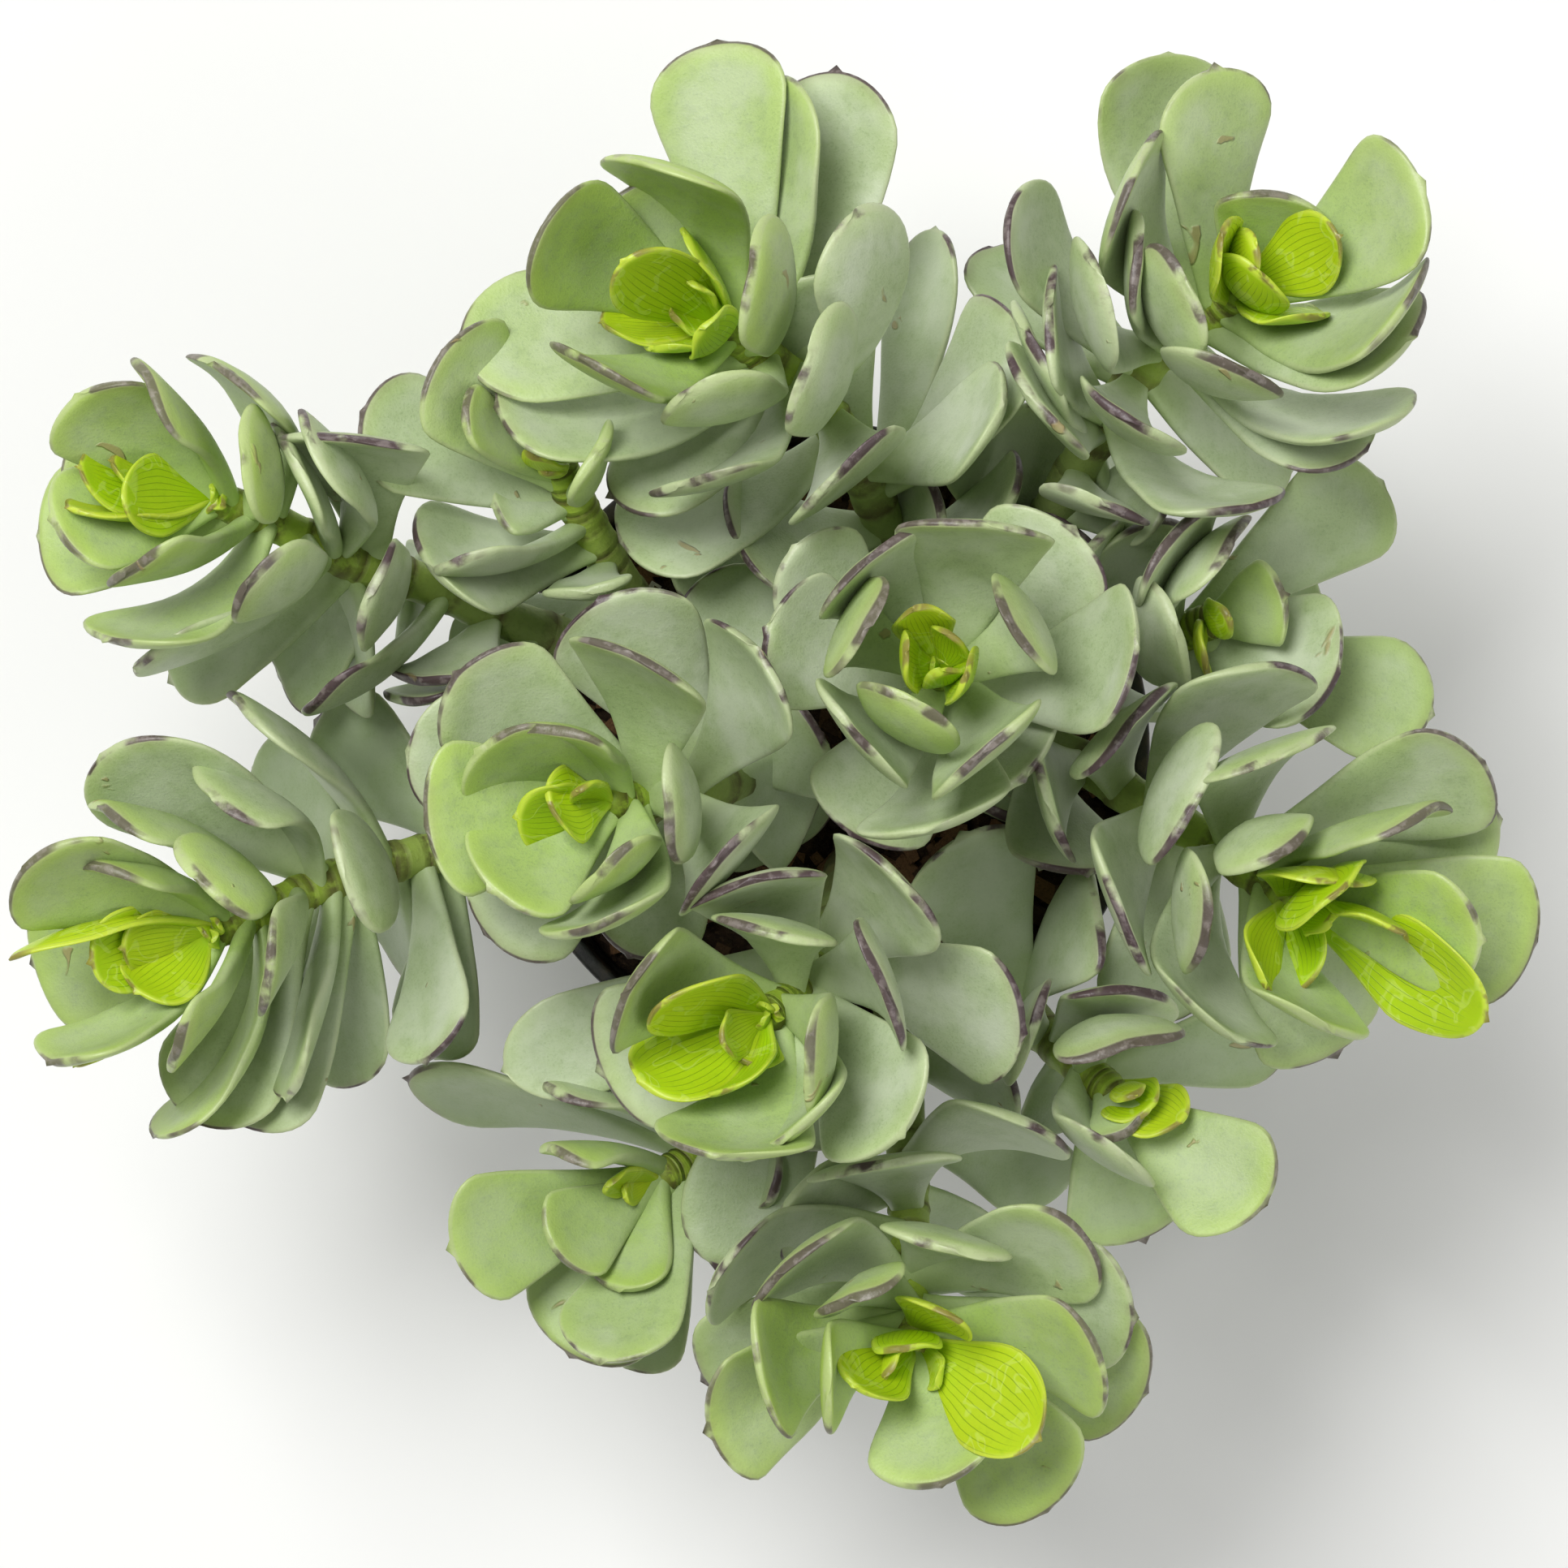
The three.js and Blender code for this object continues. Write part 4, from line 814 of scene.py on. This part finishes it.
def growth(points, along):
    """Which way the stem grows at a place along it."""
    before = on_line(points, max(0, along - 0.5))
    after = on_line(points, min(len(points) - 1, along + 0.5))
    return (after - before).normalized()


def pointed(rings, steps):
    """Faces of a shape of rings, flat at its foot, that ends in one last point."""
    top = (rings - 1) * steps
    end = [(top + k, top + (k + 1) % steps, top + steps) for k in range(steps)]
    return quads(rings, steps) + end + [tuple(reversed(range(steps)))]


stem_finish = Finish("green_stem", Specular_IOR_Level=0.45, Subsurface_Weight=0.12,
                     Subsurface_Scale=0.004)
stem_finish.shader.inputs["Subsurface Radius"].default_value = (0.5, 0.8, 0.2)
growing = stem_finish.read("youth")
scar = stem_finish.read("scar")
cork = stem_finish.cloud(240, 5, 0.65)
fleck = stem_finish.cloud(900, 3)
bark = stem_finish.blend(cork.rise(0.4, 0.65), paint("6b6a3f"), paint("4f4530"))
flesh = stem_finish.blend(growing.rise(0.15, 0.95), paint("7f8f55"), paint("9fb93a"))
flesh = stem_finish.blend(fleck.rise(0.5, 0.75) * 0.35, flesh, paint("6d8038"))
body = stem_finish.blend((growing + (cork - 0.5) * 0.5).rise(0.02, 0.30), bark, flesh)
body = stem_finish.blend(scar * cork.rise(0.3, 0.55) * 0.85, body, paint("4c3a20"))
stem_finish.use("Base Color", body)
stem_finish.use("Roughness", 0.62 - growing * 0.14 + scar * 0.15)
stem_finish.relief(cork * (1 - growing) + scar * -1.2 + fleck * 0.2, 0.0006)

for name, shoot in SHOOTS.items():
    line = [place(*at) for at in shoot["stem"]]
    shoot["line"] = line
    last = len(line) - 1
    joins = [shape["along"] for shape in shoot["leaves"] + shoot["young"]]
    steps = int(sum((b - a).length for a, b in zip(line, line[1:])) / STEM_STEP)
    stations = [last * i / steps for i in range(steps + 1)]
    centres = [line[0] - Vector((0, 0, ROOT_DEPTH))] + [on_curve(line, s) for s in stations]
    stations = [0] + stations
    points = []
    youth = []
    scars = []
    side = Vector((0.3, 1, 0.1))
    for i, centre in enumerate(centres):
        before, after = centres[max(0, i - 1)], centres[min(len(centres) - 1, i + 1)]
        way = (after - before).normalized()
        side = (side - way * side.dot(way)).normalized()
        other = way.cross(side)
        share = stations[i] / last
        near = min(abs(stations[i] - join) for join in joins) * (line[1] - line[0]).length
        mark = math.exp(-(near / SCAR_WIDTH) ** 2)
        radius = STEM_RADIUS_LOW + (STEM_RADIUS_TIP - STEM_RADIUS_LOW) * share
        radius *= 1 + 0.10 * mark + 0.05 * noise.noise(centre * 90)
        for k in range(STEM_ROUND):
            angle = 2 * math.pi * k / STEM_ROUND
            out = side * math.cos(angle) + other * math.sin(angle)
            wobble = 1 + 0.06 * noise.noise((centre + out * radius) * 260)
            points.append(centre + out * radius * wobble)
            youth.append(share)
            scars.append(mark)
    points.append(centres[-1] + (centres[-1] - centres[-2]).normalized() * STEM_RADIUS_TIP * 0.7)
    youth.append(1)
    scars.append(0)
    faces = pointed(len(centres), STEM_ROUND)
    stem = piece(f"stem_{name}", points, faces, stem_finish, {"youth": youth, "scar": scars})
    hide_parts(f"shoot_{name}")


# Grown leaves. Thick water-holding paddles, narrow where they leave the stem and broad and
# blunt at the end, blue-green with a waxy bloom, and purple along the rim of the end.
LEAF_THICKNESS = 0.0047
LEAF_SEAT = 0.0015
LEAF_TIP_FROM = 0.95
LIGHT_SEEKING = 0.8
RIM_PLACES = 120
LEAF_ROUND = 32
LEAF_RINGS = [0, 0.03, 0.07, 0.12, 0.18, 0.25, 0.32, 0.39, 0.46, 0.53, 0.60, 0.66, 0.72, 0.77,
              0.82, 0.86, 0.895, 0.925, 0.95, 0.968, 0.982, 0.992, 0.998]


def eased(value, low, high):
    t = min(1, max(0, (value - low) / (high - low)))
    return t * t * (3 - 2 * t)


def tip_of(base, shape):
    """The tip's height follows from the leaf's length and from where the tip is seen."""
    long = abs(shape["length"])
    height = base.z
    tip = place(*shape["tip"], height * 1000)
    for _ in range(6):
        across = math.hypot(tip.x - base.x, tip.y - base.y)
        rise = math.sqrt(max(0, long ** 2 - across ** 2))
        height = base.z + (rise if shape["length"] > 0 else -rise)
        tip = place(*shape["tip"], height * 1000)
    return tip


def turned_about(vector, axis, angle):
    return (vector * math.cos(angle) + axis.cross(vector) * math.sin(angle)
            + axis * axis.dot(vector) * (1 - math.cos(angle)))


def twist_of(shape, axis, facing, scale):
    """The twist with which the leaf's broad end is seen as it is in the view."""
    seen = shape["seen"]
    if seen == 0:
        return 0
    best, least = 0, math.inf
    for degrees in range(-88, 89, 4):
        facing_now = turned_about(facing, axis, math.radians(degrees))
        across = axis.cross(facing_now) * shape["width"]
        if isinstance(seen, tuple):
            right, down = seen[0] * scale, seen[1] * scale
            miss = min(math.hypot(across.x - right, across.y + down),
                       math.hypot(across.x + right, across.y - down))
        else:
            miss = abs(math.hypot(across.x, across.y) - seen * scale)
        miss += 0.00002 * abs(degrees)
        if miss < least:
            best, least = math.radians(degrees), miss
    return best


def outline(share, form):
    """Half of the leaf's outline, as a share of half its width."""
    reach = min(1, share / form["broad"])
    wide = form["stalk"] + (1 - form["stalk"]) * reach ** form["wedge"] * (2 - reach ** 2) ** 0.5
    past = (share - form["shoulder"]) / (1 - form["shoulder"])
    if past > 0:
        wide *= max(0, 1 - past ** form["round"]) ** form["blunt"]
    return wide


def blade(line, shape, thickness, age, chance, rounder=0):
    """Points, faces and carried numbers of one leaf, from its seat on the stem to its tip.
    rounder is how much rounder its outline is, and flatter its twist, than on a grown leaf."""
    seat = on_line(line, shape["along"])
    base = on_curve(line, shape["along"])
    tip = tip_of(seat, shape)
    axis = (tip - seat).normalized()
    facing = growth(line, shape["along"]) + Vector((0, 0, LIGHT_SEEKING))
    facing = (facing - axis * facing.dot(axis)).normalized()
    twist = twist_of(shape, axis, facing, (VIEW_EYE.z - tip.z) / VIEW_LENGTH)
    facing = turned_about(facing, axis, twist)
    axis = (tip - base).normalized()
    facing = (facing - axis * facing.dot(axis)).normalized()
    long = (tip - base).length
    half = shape["width"] / 2
    form = {"stalk": chance.uniform(0.20, 0.27),
            "broad": chance.uniform(0.76, 0.86) - rounder,
            "wedge": chance.uniform(1.15, 1.6) - rounder,
            "shoulder": chance.uniform(0.68, 0.84) - rounder,
            "round": chance.uniform(1.8, 2.6),
            "blunt": chance.uniform(0.46, 0.56)}
    cup = chance.uniform(0.02, 0.11) + 0.02 * (1 - age) ** 2
    fold = chance.uniform(1.2, 2.2)
    lean = chance.uniform(-0.05, 0.05) * shape["width"]
    hook = chance.uniform(-0.08, 0.14) * shape["width"]
    spiral = chance.uniform(-0.30, 0.30) * (1 - 3 * rounder)
    ripple = chance.uniform(0.3, 1.0) * 0.0012
    wave = chance.uniform(0, 6.28)
    point = chance.uniform(0.0003, 0.0016)
    rim = [1 - (1 - i / RIM_PLACES) ** 2.5 for i in range(RIM_PLACES + 1)]
    rim_out = np.array([outline(share, form) * half for share in rim])
    rim_up = np.array([share * long for share in rim])
    points = []
    along = []
    across = []
    edge = []
    for share in LEAF_RINGS:
        wide = outline(share, form) * half
        thick = thickness * (1.06 - 0.36 * eased(share, 0.45, 0.96))
        if share > LEAF_TIP_FROM:
            near_tip = (share - LEAF_TIP_FROM) / (1 - LEAF_TIP_FROM)
            thick *= math.sqrt(max(0.02, 1 - near_tip ** 2))
        blunt = 0.95 - 0.08 * eased(share, 0.02, 0.34) - 0.15 * eased(share, 0.74, 0.93)
        turn = spiral * (1 - share) * eased(share, 0, 0.3)
        up = turned_about(facing, axis, turn)
        out = axis.cross(up)
        sag = shape["bow"] * 4 * share * (1 - share) * long
        centre = base + axis * (LEAF_SEAT + (long - LEAF_SEAT) * share) - up * sag
        centre += out * lean * math.sin(math.pi * share) + up * hook * (share ** 3 - share)
        deep = cup * shape["width"] * eased(share, 0.05, 0.6)
        for k in range(LEAF_ROUND):
            angle = 2 * math.pi * k / LEAF_ROUND
            c, s = math.cos(angle), math.sin(angle)
            u = math.copysign(abs(c) ** blunt, c)
            v = math.copysign(abs(s) ** blunt, s)
            x = u * wide
            lift = deep * abs(x / half) ** fold
            sway = math.sin(wave + share * 9 + 2 * (u > 0)) * eased(share, 0.3, 0.7)
            lift += ripple * abs(u) ** 3 * sway
            points.append(centre + out * x + up * (v * thick / 2 + lift))
            along.append(share)
            across.append(u)
            gap = np.hypot(rim_out - abs(x), rim_up - share * long).min()
            edge.append(float(gap) * 1000)
    points.append(base + axis * (long + point))
    along.append(1)
    across.append(0)
    edge.append(0)
    own = chance.random()
    carried = {"along": along, "across": across, "edge": edge,
               "age": [age] * len(points), "own": [own] * len(points)}
    return points, pointed(len(LEAF_RINGS), LEAF_ROUND), carried


def gathered(blades):
    """Several leaves as one mesh."""
    points = []
    faces = []
    carried = {}
    for some, corners, numbers in blades:
        first = len(points)
        points += some
        faces += [tuple(first + v for v in f) for f in corners]
        for key, values in numbers.items():
            carried.setdefault(key, []).extend(values)
    return points, faces, carried


leaf_finish = Finish("waxy_grey_green_leaf", Specular_IOR_Level=0.5)
along = leaf_finish.read("along")
edge = leaf_finish.read("edge")
age = leaf_finish.read("age")
own = leaf_finish.read("own")
mottle = leaf_finish.cloud(330, 4, 0.6)
grain = leaf_finish.cloud(1700, 2, 0.6)
bloom = leaf_finish.cloud(60, 4, 0.55)
patch = leaf_finish.cloud(150, 4, 0.6, 0.3)
flesh = leaf_finish.blend(age.rise(0.0, 0.75), paint("a4bf60"), paint("afbe96"))
flesh = leaf_finish.blend(own * 0.5, flesh, paint("a6b685"))
flesh = leaf_finish.blend(mottle.rise(0.45, 0.75) * 0.45, flesh, paint("90a371"))
flesh = leaf_finish.blend(grain.rise(0.5, 0.75) * 0.4, flesh, paint("7a9162"))
flesh = leaf_finish.blend(bloom.rise(0.38, 0.66) * (0.2 + age * 0.4), flesh, paint("ccd3bf"))
flesh = leaf_finish.blend((1 - along.rise(0.02, 0.42)) * 0.5, flesh, paint("a9c268"))
glow = edge.rise(7.0, 1.5) * along.rise(0.5, 0.9) * (1 - age * 0.7)
flesh = leaf_finish.blend(glow * 0.5, flesh, paint("b4d056"))
# Leaves lower in the plant are darkened: painted shade from the leaves above them, and partly the
# duller tone of older leaves.
height = Value.node(leaf_finish.tree, "ShaderNodeSeparateXYZ", {}, {0: leaf_finish.place}, "Z")
flesh = leaf_finish.blend(height.rise(0.185, 0.115) * 0.6, flesh, paint("7f9466"))
# A thin pale band along the rim: partly the rim's own paler tone, partly a painted highlight on the
# rounded edge.
pale_rim_and_highlight = edge.rise(1.1, 0.4) * along.rise(0.25, 0.6)
flesh = leaf_finish.blend(pale_rim_and_highlight * 0.4, flesh, paint("b9c195"))
streak = leaf_finish.cloud(42, 3, 0.6)
apex = (along + (streak - 0.5) * 0.9).rise(0.86, 0.99)
length = (streak * 0.8 + patch * 0.2 + own * 0.10).rise(0.50, 0.57)
stain = edge.rise(0.85, 0.45) * apex * length * (0.75 + age * 0.25)
blush = edge.rise(3.5, 0.5) * apex * length
flesh = leaf_finish.blend(blush * 0.25, flesh, paint("7b6a5c"))
flesh = leaf_finish.blend(stain * 0.95, flesh, paint("46303a"))
# A pale broken line on the crest of the rim at the end of the leaf is a painted highlight.
painted_rim_highlight = edge.rise(0.7, 0.2) * apex * mottle.rise(0.48, 0.62)
flesh = leaf_finish.blend(painted_rim_highlight * 0.2, flesh, paint("c9bdb8"))
corky = leaf_finish.cloud(75, 3, 0.5, 0.6)
wart = (corky + own * 0.05).rise(0.735, 0.765)
flesh = leaf_finish.blend(wart * 0.7, flesh, paint("9c8a5c"))
leaf_finish.use("Base Color", flesh)
leaf_finish.use("Roughness", 0.40 + bloom * 0.16 - pale_rim_and_highlight * 0.06)
leaf_finish.relief(mottle * 0.5 + grain * 0.3 + wart * 1.5 + stain * 0.5, 0.00035, 0.7)

for number, (name, shoot) in enumerate(SHOOTS.items()):
    line = shoot["line"]
    chance = random.Random(100 + number)
    last = len(line) - 1
    blades = []
    for shape in shoot["leaves"]:
        age = 1 - eased(shape["along"] / last, 0.55, 1.0)
        blades.append(blade(line, shape, LEAF_THICKNESS, age, chance))
    points, faces, carried = gathered(blades)
    leaves = piece(f"leaves_{name}", points, faces, leaf_finish, carried)
    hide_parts(f"shoot_{name}", *(f"leaf_{name}_{n}" for n in shoot["apart"]))


# Young leaves. Thin, soft and lime green, folded round the bud at the end of each shoot,
# with fine dark veins that run out from the base and pale spots where water has dried.
YOUNG_THICKNESS = 0.0026
YOUNG_ROUNDER = 0.2
BUD_LEAVES = 3
BUD_LEAF_LENGTH = 6
BUD_LEAF_WIDTH = 5
BUD_SPREAD = 12
BUD_TURN = 2.4

young_finish = Finish("lime_young_leaf", Specular_IOR_Level=0.45, Subsurface_Weight=0.22,
                      Subsurface_Scale=0.005)
young_finish.shader.inputs["Subsurface Radius"].default_value = (0.6, 1.0, 0.1)
along = young_finish.read("along")
across = young_finish.read("across")
edge = young_finish.read("edge")
own = young_finish.read("own")
drift = young_finish.cloud(120, 3)
mottle = young_finish.cloud(420, 4, 0.6)
drops = young_finish.cloud(150, 1.5, 0.4, 0.8)
lines = (across * 40 + drift * 3 + along * 1.5).math("SINE")
veins = lines.rise(0.90, 0.995) * along.rise(0.10, 0.25) * along.rise(0.97, 0.75)
flesh = young_finish.blend(own * 0.7, paint("a3c60f"), paint("bdd023"))
flesh = young_finish.blend(along.rise(0.5, 0.0) * 0.6, flesh, paint("8fba06"))
flesh = young_finish.blend(mottle.rise(0.5, 0.8) * 0.25, flesh, paint("7ea80e"))
flesh = young_finish.blend(veins * 0.5, flesh, paint("4f7c08"))
flesh = young_finish.blend(edge.rise(1.6, 0.3) * 0.5, flesh, paint("cbd855"))
spots = drops.rise(0.57, 0.60) * drops.rise(0.66, 0.62)
flesh = young_finish.blend(spots * 0.28, flesh, paint("d3e57c"))
stain = edge.rise(1.1, 0.4) * along.rise(0.86, 0.99) * (drift + own * 0.1).rise(0.52, 0.6)
flesh = young_finish.blend(stain * 0.7, flesh, paint("6f463e"))
young_finish.use("Base Color", flesh)
young_finish.use("Roughness", 0.34 + mottle * 0.15 - spots * 0.06)
young_finish.relief(mottle * 0.3 + veins * -0.5 + spots * 0.2, 0.0003, 0.6)

for number, (name, shoot) in enumerate(SHOOTS.items()):
    line = shoot["line"]
    chance = random.Random(300 + number)
    end = len(line) - 1
    young = shoot["young"]
    blades = [blade(line, shape, YOUNG_THICKNESS, 0, chance, YOUNG_ROUNDER) for shape in young]
    view_x, view_y, _ = shoot["stem"][-1]
    for k in range(BUD_LEAVES if len(young) > 3 else 0):
        angle = BUD_TURN * k + number
        at = (view_x + BUD_SPREAD * math.cos(angle), view_y + BUD_SPREAD * math.sin(angle))
        bud = leaf(end - 0.02, at, BUD_LEAF_LENGTH + k, BUD_LEAF_WIDTH, 0, 0.05)
        blades.append(blade(line, bud, YOUNG_THICKNESS * 0.7, 0, chance, YOUNG_ROUNDER))
    points, faces, carried = gathered(blades)
    crown = piece(f"crown_{name}", points, faces, young_finish, carried)
    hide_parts(f"shoot_{name}")


# Studio. A pale seamless floor, one large soft light high on the left and behind, a weaker
# one opposite, and an even white room round them.
FLOOR_REACH = 3
LAMPS_AIM = Vector((0, 0, 0.15))
LIGHTS = (
    ("softbox", (-0.7, 0.75, 2.0), 1.0, 43),
    ("fill", (1.3, -0.9, 1.5), 1.4, 12),
)
ROOM_LIGHT = 0.29

paper = Finish("pale_paper", Roughness=0.9)
paper.shader.inputs["Base Color"].default_value = paint("f4f4f2")
floor_mesh = bpy.data.meshes.new("floor")
corners = [(FLOOR_REACH * i, FLOOR_REACH * j, 0) for i, j in ((-1, -1), (1, -1), (1, 1), (-1, 1))]
floor_mesh.from_pydata(corners, [], [(0, 1, 2, 3)])
floor_mesh.materials.append(paper.material)
floor = bpy.data.objects.new("floor", floor_mesh)
bpy.context.collection.objects.link(floor)

for name, spot, size, power in LIGHTS:
    light = bpy.data.lights.new(name, "AREA")
    light.size = size
    light.energy = power
    lamp = bpy.data.objects.new(name, light)
    lamp.location = spot
    lamp.rotation_euler = (LAMPS_AIM - lamp.location).to_track_quat("-Z", "Y").to_euler()
    bpy.context.collection.objects.link(lamp)

room = bpy.data.worlds.new("white_room")
room.use_nodes = True
room.node_tree.nodes["Background"].inputs["Color"].default_value = (1, 1, 1, 1)
room.node_tree.nodes["Background"].inputs["Strength"].default_value = ROOM_LIGHT
bpy.context.scene.world = room
bpy.context.scene.view_settings.view_transform = "Standard"

# Camera. It looks straight down on the plant, as the photo does, from the point and with
# the field of view that the places of the stems and leaves were read with.
SENSOR_WIDTH = 36

lens = bpy.data.cameras.new("view")
lens.sensor_width = SENSOR_WIDTH
lens.lens = SENSOR_WIDTH * VIEW_LENGTH / VIEW_SIZE
lens.clip_start = 0.05
eye = bpy.data.objects.new("view", lens)
eye.location = VIEW_EYE
bpy.context.collection.objects.link(eye)
bpy.context.scene.camera = eye
